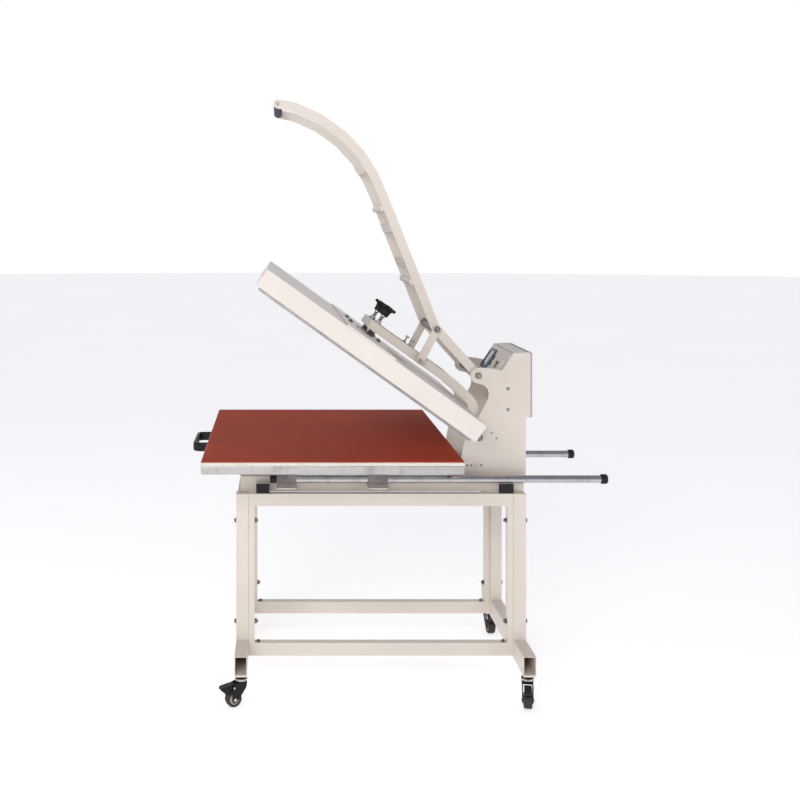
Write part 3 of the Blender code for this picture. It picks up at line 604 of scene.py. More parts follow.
def swept(path: Sequence[Vector], section: Profile, across: Vector) -> bmesh.types.BMesh:
    """A section carried along a path.

    Args:
        path: Points of the centre line.
        section: Points of the closed section, as (across, upright).
        across: Direction of the section's first axis, kept level along the path.

    Returns:
        The capped sweep.
    """
    sections = []
    for i, point in enumerate(path):
        ahead = path[min(i + 1, len(path) - 1)] - path[max(i - 1, 0)]
        upright = ahead.normalized().cross(across).normalized()
        sections.append([point + across * u + upright * v for u, v in section])
    return ring_shell(sections)


def facing(axis: Vector, origin: Vector) -> Matrix:
    """The placement that turns +Z to an axis and moves the origin to a point."""
    return Matrix.Translation(origin) @ axis.to_track_quat("Z", "Y").to_matrix().to_4x4()


def joined(*solids: bmesh.types.BMesh) -> bmesh.types.BMesh:
    """Puts several solids into one mesh.

    Args:
        *solids: The solids, which are freed.

    Returns:
        All of them together.
    """
    whole = bmesh.new()
    for solid in solids:
        carrier = bpy.data.meshes.new("carrier")
        solid.to_mesh(carrier)
        solid.free()
        whole.from_mesh(carrier)
        bpy.data.meshes.remove(carrier)
    return whole


def moved(solid: bmesh.types.BMesh, placement: Matrix) -> bmesh.types.BMesh:
    """The solid after a placement."""
    bmesh.ops.transform(solid, matrix=placement, verts=solid.verts)
    return solid


def piece(
    name: str,
    solid: bmesh.types.BMesh,
    finish: Finish,
    body: str,
    stands_for: Iterable[str] = (),
) -> bpy.types.Object:
    """Makes a finished piece that rides on a body.

    Args:
        name: The piece's name.
        solid: Its shape in the frame, which is freed.
        finish: Its finish.
        body: The body it moves with.
        stands_for: CAD nodes that it replaces.

    Returns:
        The piece.
    """
    mesh = bpy.data.meshes.new(name)
    solid.to_mesh(mesh)
    solid.free()
    return mesh_piece(name, mesh, finish, body, stands_for)


def mesh_piece(
    name: str, mesh: bpy.types.Mesh, finish: Finish, body: str, stands_for: Iterable[str] = ()
) -> bpy.types.Object:
    """Dresses a finished mesh, links it and lets it ride.

    Args:
        name: The piece's name.
        mesh: Its shape in the frame.
        finish: Its finish.
        body: The body it moves with.
        stands_for: CAD nodes that it replaces.

    Returns:
        The piece.
    """
    mesh.name = name
    mesh.materials.clear()
    mesh.materials.append(finish.material())
    mesh.shade_smooth()
    mesh.set_sharp_from_angle(angle=SHARP_ANGLE)
    made = bpy.data.objects.new(name, mesh)
    bpy.context.scene.collection.objects.link(made)
    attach(made, body)
    names = list(stands_for)
    if names:
        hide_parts(*names)
    log.info("%s: %d faces on %s", name, len(mesh.polygons), body)
    return made


def dress(finish: Finish, *nodes: str) -> None:
    """Gives CAD nodes a finish.

    Args:
        finish: The finish.
        *nodes: Names of the nodes.
    """
    for name in nodes:
        node = frame["nodes"][name]
        for slot in node.material_slots:
            slot.material = finish.material()


def joint(name: str) -> dict[str, Any]:
    """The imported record's joint of that name."""
    return next(j for j in frame["record"]["behaviour"]["joints"] if j["name"] == name)


def centre(node: str) -> Vector:
    """The middle of a CAD node at rest."""
    low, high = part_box(node)
    return (low + high) / 2


# ------------------------------------------------------------------ repeated pieces by Geometry Nodes


class Tree:
    """A Geometry Nodes tree under construction."""

    def __init__(self, name: str, sockets: dict[str, str]) -> None:
        """Starts a tree.

        Args:
            name: The tree's name.
            sockets: Name and type of each input after the geometry.
        """
        self.group = bpy.data.node_groups.new(name, "GeometryNodeTree")
        face = self.group.interface
        face.new_socket("Geometry", in_out="INPUT", socket_type="NodeSocketGeometry")
        face.new_socket("Geometry", in_out="OUTPUT", socket_type="NodeSocketGeometry")
        self.identifiers = {
            key: face.new_socket(key, in_out="INPUT", socket_type=kind).identifier
            for key, kind in sockets.items()
        }
        self.start = self.group.nodes.new("NodeGroupInput")
        self.end = self.group.nodes.new("NodeGroupOutput")

    def add(self, kind: str, settings: dict[str, Any], inputs: dict[Any, Any]) -> bpy.types.Node:
        """Adds a node.

        Args:
            kind: The node's type.
            settings: Properties that are set first.
            inputs: Values or output sockets for its inputs.

        Returns:
            The node.
        """
        added = self.group.nodes.new(kind)
        for key, value in settings.items():
            setattr(added, key, value)
        for key, value in inputs.items():
            if isinstance(value, bpy.types.NodeSocket):
                self.group.links.new(value, added.inputs[key])
            else:
                added.inputs[key].default_value = value
        return added

    def close(self, instances: bpy.types.NodeSocket) -> None:
        """Ends the tree in Realize Instances and Set Material.

        Args:
            instances: What the tree made.
        """
        real = self.add("GeometryNodeRealizeInstances", {}, {0: instances})
        inputs = {"Geometry": real.outputs[0], "Material": self.start.outputs["Finish"]}
        painted = self.add("GeometryNodeSetMaterial", {}, inputs)
        self.group.links.new(painted.outputs[0], self.end.inputs[0])

    def run(self, mesh: bpy.types.Mesh, values: dict[str, Any]) -> bpy.types.Mesh:
        """Runs the tree on a mesh.

        Args:
            mesh: The guide it works on.
            values: The inputs, by name.

        Returns:
            The result as a plain mesh.
        """
        guide = bpy.data.objects.new("guide", mesh)
        bpy.context.scene.collection.objects.link(guide)
        modifier = guide.modifiers.new("repeat", "NODES")
        modifier.node_group = self.group
        for key, value in values.items():
            modifier[self.identifiers[key]] = value
        bpy.context.view_layer.update()
        evaluated = guide.evaluated_get(bpy.context.evaluated_depsgraph_get())
        result = bpy.data.meshes.new_from_object(evaluated)
        guide.modifiers.remove(modifier)
        bpy.data.objects.remove(guide)
        return result


def scatter_tree() -> Tree:
    """A tree that puts one prototype at every point, turned to the point's own axis.

    Returns:
        The tree.
    """
    tree = Tree("set_fasteners", {"Prototype": "NodeSocketObject", "Size": "NodeSocketFloat",
                                  "Finish": "NodeSocketMaterial"})
    source = tree.add("GeometryNodeObjectInfo", {}, {"Object": tree.start.outputs["Prototype"]})
    axis = tree.add("GeometryNodeInputNamedAttribute", {"data_type": "FLOAT_VECTOR"}, {"Name": "axis"})
    turn = tree.add("FunctionNodeAlignRotationToVector", {"axis": "Z"}, {"Vector": axis.outputs[0]})
    twist = tree.add("FunctionNodeRandomValue", {"data_type": "FLOAT"}, {2: 0.0, 3: pi, "Seed": 7})
    spin = tree.add("FunctionNodeAxisAngleToRotation", {},
                    {"Axis": (0.0, 0.0, 1.0), "Angle": twist.outputs[1]})
    turned = tree.add("FunctionNodeRotateRotation", {"rotation_space": "LOCAL"},
                      {0: turn.outputs[0], 1: spin.outputs[0]})
    placed = tree.add("GeometryNodeInstanceOnPoints", {}, {
        "Points": tree.start.outputs["Geometry"], "Instance": source.outputs["Geometry"],
        "Rotation": turned.outputs[0], "Scale": tree.start.outputs["Size"]})
    tree.close(placed.outputs[0])
    return tree


def bead_tree() -> Tree:
    """A tree that lays overlapping drops along edges, as a weld bead.

    Returns:
        The tree.
    """
    tree = Tree("lay_weld_bead", {"Pitch": "NodeSocketFloat", "Radius": "NodeSocketFloat",
                                  "Finish": "NodeSocketMaterial"})
    line = tree.add("GeometryNodeMeshToCurve", {}, {0: tree.start.outputs["Geometry"]})
    points = tree.add("GeometryNodeCurveToPoints", {"mode": "LENGTH"},
                      {"Curve": line.outputs[0], "Length": tree.start.outputs["Pitch"]})
    drop = tree.add("GeometryNodeMeshIcoSphere", {},
                    {"Radius": tree.start.outputs["Radius"], "Subdivisions": 2})
    size = tree.add("FunctionNodeRandomValue", {"data_type": "FLOAT"}, {2: 0.82, 3: 1.12, "Seed": 11})
    placed = tree.add("GeometryNodeInstanceOnPoints", {}, {
        "Points": points.outputs[0], "Instance": drop.outputs[0], "Scale": size.outputs[1]})
    tree.close(placed.outputs[0])
    return tree


def coil_tree() -> Tree:
    """A tree that winds a wire into a spring at every point, turned to the point's own axis.

    Returns:
        The tree.
    """
    tree = Tree("wind_springs", {"Radius": "NodeSocketFloat", "Height": "NodeSocketFloat",
                                 "Wire": "NodeSocketFloat", "Turns": "NodeSocketFloat",
                                 "Finish": "NodeSocketMaterial"})
    helix = tree.add("GeometryNodeCurveSpiral", {}, {
        "Resolution": 18, "Rotations": tree.start.outputs["Turns"],
        "Start Radius": tree.start.outputs["Radius"],
        "End Radius": tree.start.outputs["Radius"], "Height": tree.start.outputs["Height"]})
    section = tree.add("GeometryNodeCurvePrimitiveCircle", {},
                       {"Resolution": 8, "Radius": tree.start.outputs["Wire"]})
    wire = tree.add("GeometryNodeCurveToMesh", {},
                    {"Curve": helix.outputs[0], "Profile Curve": section.outputs[0], "Fill Caps": True})
    axis = tree.add("GeometryNodeInputNamedAttribute", {"data_type": "FLOAT_VECTOR"}, {"Name": "axis"})
    turn = tree.add("FunctionNodeAlignRotationToVector", {"axis": "Z"}, {"Vector": axis.outputs[0]})
    placed = tree.add("GeometryNodeInstanceOnPoints", {}, {
        "Points": tree.start.outputs["Geometry"], "Instance": wire.outputs[0], "Rotation": turn.outputs[0]})
    tree.close(placed.outputs[0])
    return tree


def rib_tree() -> Tree:
    """A tree that repeats a ring along X, as the ribs of a grip.

    Returns:
        The tree.
    """
    tree = Tree("rib_sleeve", {"Radius": "NodeSocketFloat", "Rib": "NodeSocketFloat",
                               "Finish": "NodeSocketMaterial"})
    circle = tree.add("GeometryNodeCurvePrimitiveCircle", {},
                      {"Resolution": 28, "Radius": tree.start.outputs["Radius"]})
    section = tree.add("GeometryNodeCurvePrimitiveCircle", {},
                       {"Resolution": 6, "Radius": tree.start.outputs["Rib"]})
    ring = tree.add("GeometryNodeCurveToMesh", {},
                    {"Curve": circle.outputs[0], "Profile Curve": section.outputs[0]})
    placed = tree.add("GeometryNodeInstanceOnPoints", {}, {
        "Points": tree.start.outputs["Geometry"], "Instance": ring.outputs[0],
        "Rotation": (0.0, pi / 2, 0.0)})
    tree.close(placed.outputs[0])
    return tree


class Fastener(Enum):
    """Kinds of screw and nut on the press."""

    SOCKET = "socket_cap"
    HEX = "hex_bolt"
    NUT = "lock_nut"
    PAN = "pan_screw"


def fastener_solid(kind: Fastener) -> bmesh.types.BMesh:
    """One fastener standing on the XY plane, with a head about 1 across.

    Args:
        kind: Which fastener.

    Returns:
        Its shape, to be scaled to the head's width.
    """
    washer = revolved([(0.66, 0.0), (0.70, 0.02), (0.70, 0.09), (0.66, 0.12)], 28)
    if kind is Fastener.SOCKET:
        head = revolved([(0.46, 0.10), (0.50, 0.14), (0.50, 0.52), (0.45, 0.60), (0.29, 0.60)], 24)
        top = max(head.faces, key=lambda face: face.calc_center_median().z)
        bmesh.ops.delete(head, geom=[top], context="FACES_ONLY")
        rim = [edge for edge in head.edges if edge.is_boundary]
        wall = [head.verts.new((0.27 * cos(pi / 3 * i), 0.27 * sin(pi / 3 * i), 0.58)) for i in range(6)]
        sides = [head.edges.new((wall[i], wall[(i + 1) % 6])) for i in range(6)]
        bmesh.ops.bridge_loops(head, edges=rim + sides)
        sunk = bmesh.ops.extrude_edge_only(head, edges=sides)["geom"]
        low = [item for item in sunk if isinstance(item, bmesh.types.BMVert)]
        bmesh.ops.translate(head, vec=(0.0, 0.0, -0.30), verts=low)
        bmesh.ops.contextual_create(head, geom=low)
        bmesh.ops.recalc_face_normals(head, faces=head.faces)
        return joined(head, washer)
    if kind is Fastener.PAN:
        return revolved([(0.50, 0.0), (0.50, 0.12), (0.44, 0.26), (0.28, 0.36), (0.10, 0.39),
                         (0.09, 0.30)], 24)
    height = 0.42 if kind is Fastener.HEX else 0.50
    head = revolved([(0.52, 0.10), (0.56, 0.14), (0.56, 0.10 + height - 0.05), (0.50, 0.10 + height)], 6)
    if kind is Fastener.HEX:
        return joined(head, washer)
    stud = revolved([(0.28, 0.10 + height - 0.02), (0.28, 0.80), (0.24, 0.84)], 20)
    return joined(head, washer, stud)


@dataclass
class Hardware:
    """Sets fasteners, welds and springs with shared Geometry Nodes trees."""

    scatter: Tree = field(default_factory=scatter_tree)
    bead: Tree = field(default_factory=bead_tree)
    coil: Tree = field(default_factory=coil_tree)
    ribs: Tree = field(default_factory=rib_tree)

    def guide(self, spots: Sequence[tuple[Vector, Vector]]) -> bpy.types.Mesh:
        """A point for every spot, with its axis as an attribute.

        Args:
            spots: Seat point and outward axis of each.

        Returns:
            The mesh of points.
        """
        mesh = bpy.data.meshes.new("spots")
        mesh.from_pydata([tuple(place) for place, _ in spots], [], [])
        axes = mesh.attributes.new("axis", "FLOAT_VECTOR", "POINT")
        axes.data.foreach_set("vector", [value for _, axis in spots for value in axis])
        return mesh

    def set(
        self, name: str, kind: Fastener, width: float, spots: Sequence[tuple[Vector, Vector]],
        body: str, finish: Finish = BLACKED,
    ) -> None:
        """Sets fasteners of one kind on one body.

        Args:
            name: The piece's name.
            kind: Which fastener.
            width: Width of the head in metres.
            spots: Seat point and outward axis of each.
            body: The body they ride on.
            finish: Their finish.
        """
        pattern = bpy.data.meshes.new("pattern")
        solid = fastener_solid(kind)
        solid.to_mesh(pattern)
        solid.free()
        prototype = bpy.data.objects.new("prototype", pattern)
        bpy.context.scene.collection.objects.link(prototype)
        values = {"Prototype": prototype, "Size": width, "Finish": finish.material()}
        mesh = self.scatter.run(self.guide(spots), values)
        bpy.data.objects.remove(prototype)
        mesh_piece(name, mesh, finish, body)

    def weld(self, name: str, lines: Sequence[Sequence[Vector]], radius: float, body: str) -> None:
        """Lays painted weld beads.

        Args:
            name: The piece's name.
            lines: Points of each bead's line.
            radius: Radius of the bead.
            body: The body it rides on.
        """
        guide = bmesh.new()
        for line in lines:
            knots = [guide.verts.new(point) for point in line]
            for first, second in zip(knots, knots[1:]):
                guide.edges.new((first, second))
        mesh = bpy.data.meshes.new("lines")
        guide.to_mesh(mesh)
        guide.free()
        values = {"Pitch": radius * 0.75, "Radius": radius, "Finish": PAINT.material()}
        mesh_piece(name, self.bead.run(mesh, values), PAINT, body)

    def springs(
        self, name: str, spots: Sequence[tuple[Vector, Vector]], radius: float, height: float, body: str
    ) -> None:
        """Winds compression springs.

        Args:
            name: The piece's name.
            spots: Foot and axis of each.
            radius: Coil radius.
            height: Free height.
            body: The body they ride on.
        """
        wire = 0.0011
        values = {"Radius": radius, "Height": height, "Wire": wire, "Turns": height / (3.2 * wire),
                  "Finish": BLACKED.material()}
        mesh_piece(name, self.coil.run(self.guide(spots), values), BLACKED, body)


# ------------------------------------------------------------------ sub-assemblies


@dataclass
class Stand:
    """Wheeled tube stand with its bolts and welds."""

    hardware: Hardware
    bolt_heights: tuple[float, float] = (0.2224, 0.5545)
    bolt_x: float = 0.203
    bolt_width: float = 0.013
    bead: float = 0.0016

    def build(self) -> None:
        """Dresses the frame and adds bolts, rail screws and welds."""
        dress(PAINT, "front_end_frame", "rear_end_frame", "right_side_frame", "left_side_frame", "base_frame")
        dress(CAP_GREY, *(f"{end}_{side}_tube_cap" for end in ("front", "rear") for side in SIDES))
        self.bolt_posts()
        self.screw_rails()
        self.weld_feet()

    def bolt_posts(self) -> None:
        """Hex bolts through the posts, with lock nuts inside the side frames."""
        bolts, nuts = [], []
        flange, gap = 0.020, 0.0003
        for node, outward in (("front_end_frame", -1.0), ("rear_end_frame", 1.0)):
            low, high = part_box(node)
            outer, inner = (low.y, high.y) if outward < 0 else (high.y, low.y)
            for x in (self.bolt_x, -self.bolt_x):
                for z in self.bolt_heights:
                    bolts.append((Vector((x, outer, z)), Vector((0, outward, 0))))
                    seat = inner - outward * (flange + gap)
                    nuts.append((Vector((x, seat, z)), Vector((0, -outward, 0))))
        self.hardware.set("post_bolts", Fastener.HEX, self.bolt_width, bolts, "stand")
        self.hardware.set("post_nuts", Fastener.NUT, self.bolt_width, nuts, "stand")

    def screw_rails(self) -> None:
        """Screw heads on the lower rails, near the uprights."""
        low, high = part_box("right_side_frame")
        rail_top = low.z + 0.042
        from_end = 0.0323
        spots = [
            (Vector((sign * self.bolt_x, y, rail_top)), Vector((0, 0, 1)))
            for sign in SIDES.values()
            for y in (low.y + from_end, high.y - from_end)
        ]
        self.hardware.set("rail_screws", Fastener.SOCKET, 0.010, spots, "stand")

    def weld_feet(self) -> None:
        """Weld beads round the feet of the posts."""
        post, post_outer, margin = 0.040, 0.220, 0.001
        foot_top = 0.165
        lines = []
        for node in ("front_end_frame", "rear_end_frame"):
            low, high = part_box(node)
            for sign in SIDES.values():
                ends = (low.y + margin, high.y - margin)
                for x in (sign * post_outer, sign * (post_outer - post)):
                    lines.append([Vector((x, y, foot_top)) for y in ends])
        self.hardware.weld("foot_welds", lines, self.bead, "stand")


@dataclass
class Caster:
    """One swivel caster with its wheel, hub ring, axle ends and brake pedal."""

    place: str
    wheel_radius: float = 0.0255
    wheel_half: float = 0.0135
    axle_reach: float = 0.0200
    bore: float = 0.0044

    def axes(self) -> tuple[Vector, Vector]:
        """Centre of the wheel and direction of its axle."""
        roll = joint(f"{self.place}_roll")
        return Vector(roll["pos_m"]), Vector(roll["axis"]).normalized()

    def build(self) -> None:
        """Dresses the fork and pedal and makes the wheel, the hub rings and the axle ends."""
        dress(BLACK, f"{self.place}_caster_fork", f"{self.place}_brake_pedal")
        hub, axle = self.axes()
        placement = facing(axle, hub)
        tall = self.wheel_radius
        half = [(0.0162, 0.86), (0.0200, 1.0), (tall - 0.0028, 0.96), (tall - 0.0008, 0.80), (tall, 0.45)]
        tyre = hollow_ring(self.mirrored(half), 64)
        piece(f"{self.place}_tyre", moved(tyre, placement), TREAD, f"{self.place}_wheel",
              (f"{self.place}_caster_wheel",))
        half = [(self.bore, 0.80), (0.0072, 0.80), (0.0080, 0.62), (0.0128, 0.62),
                (0.0140, 0.86), (0.0160, 0.84)]
        disc = hollow_ring(self.mirrored(half), 48)
        piece(f"{self.place}_hub", moved(disc, placement), HUB, f"{self.place}_wheel")
        ends = [
            moved(revolved([(0.0050, 0.0), (0.0052, 0.0006), (0.0052, 0.0018), (0.0036, 0.0026)], 24),
                  facing(axle * way, hub + axle * way * (self.axle_reach - 0.0024)))
            for way in (1.0, -1.0)
        ]
        piece(f"{self.place}_axle_ends", joined(*ends), ZINC, f"{self.place}_fork")
        self.add_swivel(hub, axle)

    def mirrored(self, half: Profile) -> list[tuple[float, float]]:
        """A closed profile, the same on both sides of the wheel's middle.

        Args:
            half: Radius, and height as a share of the half width, for one side.

        Returns:
            The whole profile.
        """
        one_side = [(radius, share * self.wheel_half) for radius, share in half]
        return one_side + [(radius, -height) for radius, height in one_side[::-1]]

    def add_swivel(self, hub: Vector, axle: Vector) -> None:
        """Bearing race and pedal pin.

        Args:
            hub: Centre of the wheel; not used.
            axle: Direction of the axle.
        """
        swivel = joint(f"{self.place}_swivel")
        top = Vector((swivel["pos_m"][0], swivel["pos_m"][1], 0.0))
        race = hollow_ring([(0.0198, 0.0868), (0.0206, 0.0860), (0.0206, 0.0812), (0.0198, 0.0804)], 40)
        pin_at = Vector(joint(f"{self.place}_brake")["pos_m"])
        pins = [
            moved(revolved([(0.0032, 0.0), (0.0032, 0.0012), (0.0020, 0.0020)], 16),
                  facing(axle * way, pin_at + axle * way * 0.0176))
            for way in (1.0, -1.0)
        ]
        piece(f"{self.place}_race", moved(race, Matrix.Translation(top)), ZINC, f"{self.place}_fork")
        piece(f"{self.place}_pedal_pins", joined(*pins), ZINC, f"{self.place}_fork")


@dataclass
class Table:
    """Pull-out table: platen, sponge, silicone skin, rods and bow handle."""

    hardware: Hardware
    body: str = "table"
    cells: float = 0.02

    def build(self) -> None:
        """Dresses the platen and makes the pads, the rods and their caps, and the handle."""
        dress(ALUMINIUM, "platen_slab", "right_rod_hanger", "left_rod_hanger")
        dress(HOUSING, *(f"{end}_{side}_bearing_block" for end in ("front", "rear") for side in SIDES))
        self.lay_pad("sponge_layer", "foam_pad", SPONGE, 0.0012)
        self.lay_pad("silicone_skin", "silicone_sheet", RED_PAD, 0.0006)
        for side in SIDES:
            self.build_rod(side)
        self.build_handle()
        self.bolt_blocks()

    def lay_pad(self, name: str, node: str, finish: Finish, waver: float) -> None:
        """A flat pad whose edge wavers a little where it was cut.

        Args:
            name: The piece's name.
            node: The CAD node it stands for.
            finish: Its finish.
            waver: How far the cut edge strays, in metres.
        """
        low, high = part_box(node)
        width, depth = high.x - low.x, high.y - low.y
        columns, rows = round(width / self.cells), round(depth / self.cells)
        outline = [(i / columns, 0.0) for i in range(columns)]
        outline += [(1.0, i / rows) for i in range(rows)]
        outline += [(1.0 - i / columns, 1.0) for i in range(columns)]
        outline += [(0.0, 1.0 - i / rows) for i in range(rows)]
        middle = (low + high) / 2
        thick = high.z - low.z

        def edge(inset: float, z: float) -> list[Vector]:
            """The pad's cut edge.

            Args:
                inset: How far inside the outline.
                z: Its height.

            Returns:
                The ring of points.
            """
            points = []
            for u, v in outline:
                x, y = low.x + u * width, low.y + v * depth
                stray = waver * (noise.noise(Vector((x * 9, y * 9, thick * 90))) * 0.5 + 0.5) + inset
                outward = Vector((x - middle.x, y - middle.y, 0.0))
                points.append(Vector((
                    x - stray * (abs(u - 0.5) == 0.5) * (1 if outward.x > 0 else -1),
                    y - stray * (abs(v - 0.5) == 0.5) * (1 if outward.y > 0 else -1), z)))
            return points

        soft = min(0.0012, thick * 0.3)
        rings = [edge(soft, low.z), edge(soft * 0.3, low.z + soft * 0.3), edge(0.0, low.z + soft),
                 edge(0.0, high.z - soft), edge(soft * 0.3, high.z - soft * 0.3), edge(soft, high.z)]
        swell, room = 0.00025, 0.0002
        for inward in (0.04, 0.20, 0.50, 0.75):
            ring = []
            for point in edge(soft, high.z):
                flat = point.lerp(Vector((middle.x, middle.y, high.z)), inward)
                lift = swell * noise.noise(Vector((flat.x * 5, flat.y * 5, 3.0)))
                ring.append(Vector((flat.x, flat.y, high.z - swell + min(room, lift))))
            rings.append(ring)
        made = piece(name, ring_shell(rings), finish, self.body, (node,))

    def build_rod(self, side: str) -> None:
        """One slide rod with its caps.

        Args:
            side: Right or left.
        """
        low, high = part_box(f"{side}_slide_rod")
        radius = (high.x - low.x) / 2
        along = Vector((0, 1, 0))
        start = Vector(((low.x + high.x) / 2, low.y, (low.z + high.z) / 2))
        length = high.y - low.y
        bevel = 0.001
        ends = [(radius - bevel, 0.0), (radius, bevel), (radius, length - bevel), (radius - bevel, length)]
        bar = revolved(ends, 64)
        piece(f"{side}_rod", moved(bar, facing(along, start)), ROD_CHROME, self.body,
              (f"{side}_slide_rod",))
        low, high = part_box(f"{side}_rod_rear_cap")
        wide = (high.x - low.x) / 2
        span = high.y - low.y
        plug = revolved(
            [(wide - 0.0012, 0.0), (wide, 0.0012), (wide, 0.0060), (wide - 0.0008, 0.0066),
             (wide - 0.0008, 0.0080), (wide, 0.0086), (wide, span - 0.0075), (wide - 0.0010, span - 0.0035),
             (wide - 0.0034, span - 0.0008), (wide - 0.0060, span)], 56)
        moved(plug, facing(along, Vector((start.x, low.y, start.z))))
        piece(f"{side}_rear_cap", plug, CAP_GREY, self.body, (f"{side}_rod_rear_cap",))
        low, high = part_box(f"{side}_rod_front_cap")
        wide = (high.x - low.x) / 2
        span = high.y - low.y
        plug = revolved(
            [(wide - 0.0012, 0.0), (wide, 0.0012), (wide, span * 0.55), (wide - 0.0006, span * 0.60),
             (wide, span * 0.65), (wide, span - 0.0030), (wide - 0.0018, span - 0.0008),
             (wide - 0.0040, span)], 56)
        moved(plug, facing(-along, Vector((start.x, high.y, start.z))))
        piece(f"{side}_front_cap", plug, CAP_GREY, self.body, (f"{side}_rod_front_cap",))

    def build_handle(self) -> None:
        """Bow handle: a soft oval bar swept through two corners, on two feet."""
        low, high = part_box("pull_handle")
        level = (low.z + high.z) / 2
        half_tall = (high.z - low.z) / 2
        bar = 0.0060
        turn = 0.020
        front, back = low.y + bar, high.y
        right = high.x - bar
        path = [Vector((right, back, level)), Vector((right, (front + back) / 2 + turn / 2, level))]
        for i in range(9):
            angle = pi / 2 * i / 8
            path.append(Vector((right - turn + turn * cos(angle), front + turn - turn * sin(angle), level)))
        path.append(Vector((0.0, front, level)))
        path += [Vector((-point.x, point.y, level)) for point in path[-2::-1]]
        section = []
        for i in range(20):
            angle = 2 * pi * i / 20
            u = half_tall * abs(cos(angle)) ** 0.45 * (1 if cos(angle) >= 0 else -1)
            v = bar * abs(sin(angle)) ** 0.7 * (1 if sin(angle) >= 0 else -1)
            section.append((u, v))
        bow = swept(path, section, Vector((0, 0, 1)))
        feet = [
            moved(rounded_slab(0.030, 2 * half_tall * 0.92, 0.005, 0.006, 0.0012),
                  facing(Vector((0, -1, 0)), Vector((sign * right, back - 0.0026, level))))
            for sign in SIDES.values()
        ]
        piece("bow_handle", joined(bow, *feet), BLACK, self.body, ("pull_handle",))

    def bolt_blocks(self) -> None:
        """Socket bolts under the bearing blocks, the blocks' split lines and their oil plugs."""
        bolts, plugs, splits = [], [], []
        spread, tab, plug_level = 0.0196, 0.0045, 0.697
        for end in ("front", "rear"):
            for side in SIDES:
                low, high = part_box(f"{end}_{side}_bearing_block")
                rod = centre(f"{side}_slide_rod")
                for offset in (-spread, spread):
                    foot = Vector((rod.x, (low.y + high.y) / 2 + offset, low.z - tab))
                    bolts.append((foot, Vector((0, 0, -1))))
                outward = 1.0 if rod.x > 0 else -1.0
                face = Vector((high.x if rod.x > 0 else low.x, (low.y + high.y) / 2, plug_level))
                plugs.append((face, Vector((outward, 0, 0))))
                split = rounded_slab(0.0008, high.y - low.y - 0.002, 0.0008, 0.0003, 0.0002)
                splits.append(moved(split, Matrix.Translation(face + Vector((outward * 0.0002, 0, -0.014)))))
        self.hardware.set("block_bolts", Fastener.SOCKET, 0.0105, bolts, "stand")
        self.hardware.set("oil_plugs", Fastener.PAN, 0.0050, plugs, "stand")
        piece("block_splits", joined(*splits), SHADOW, "stand")


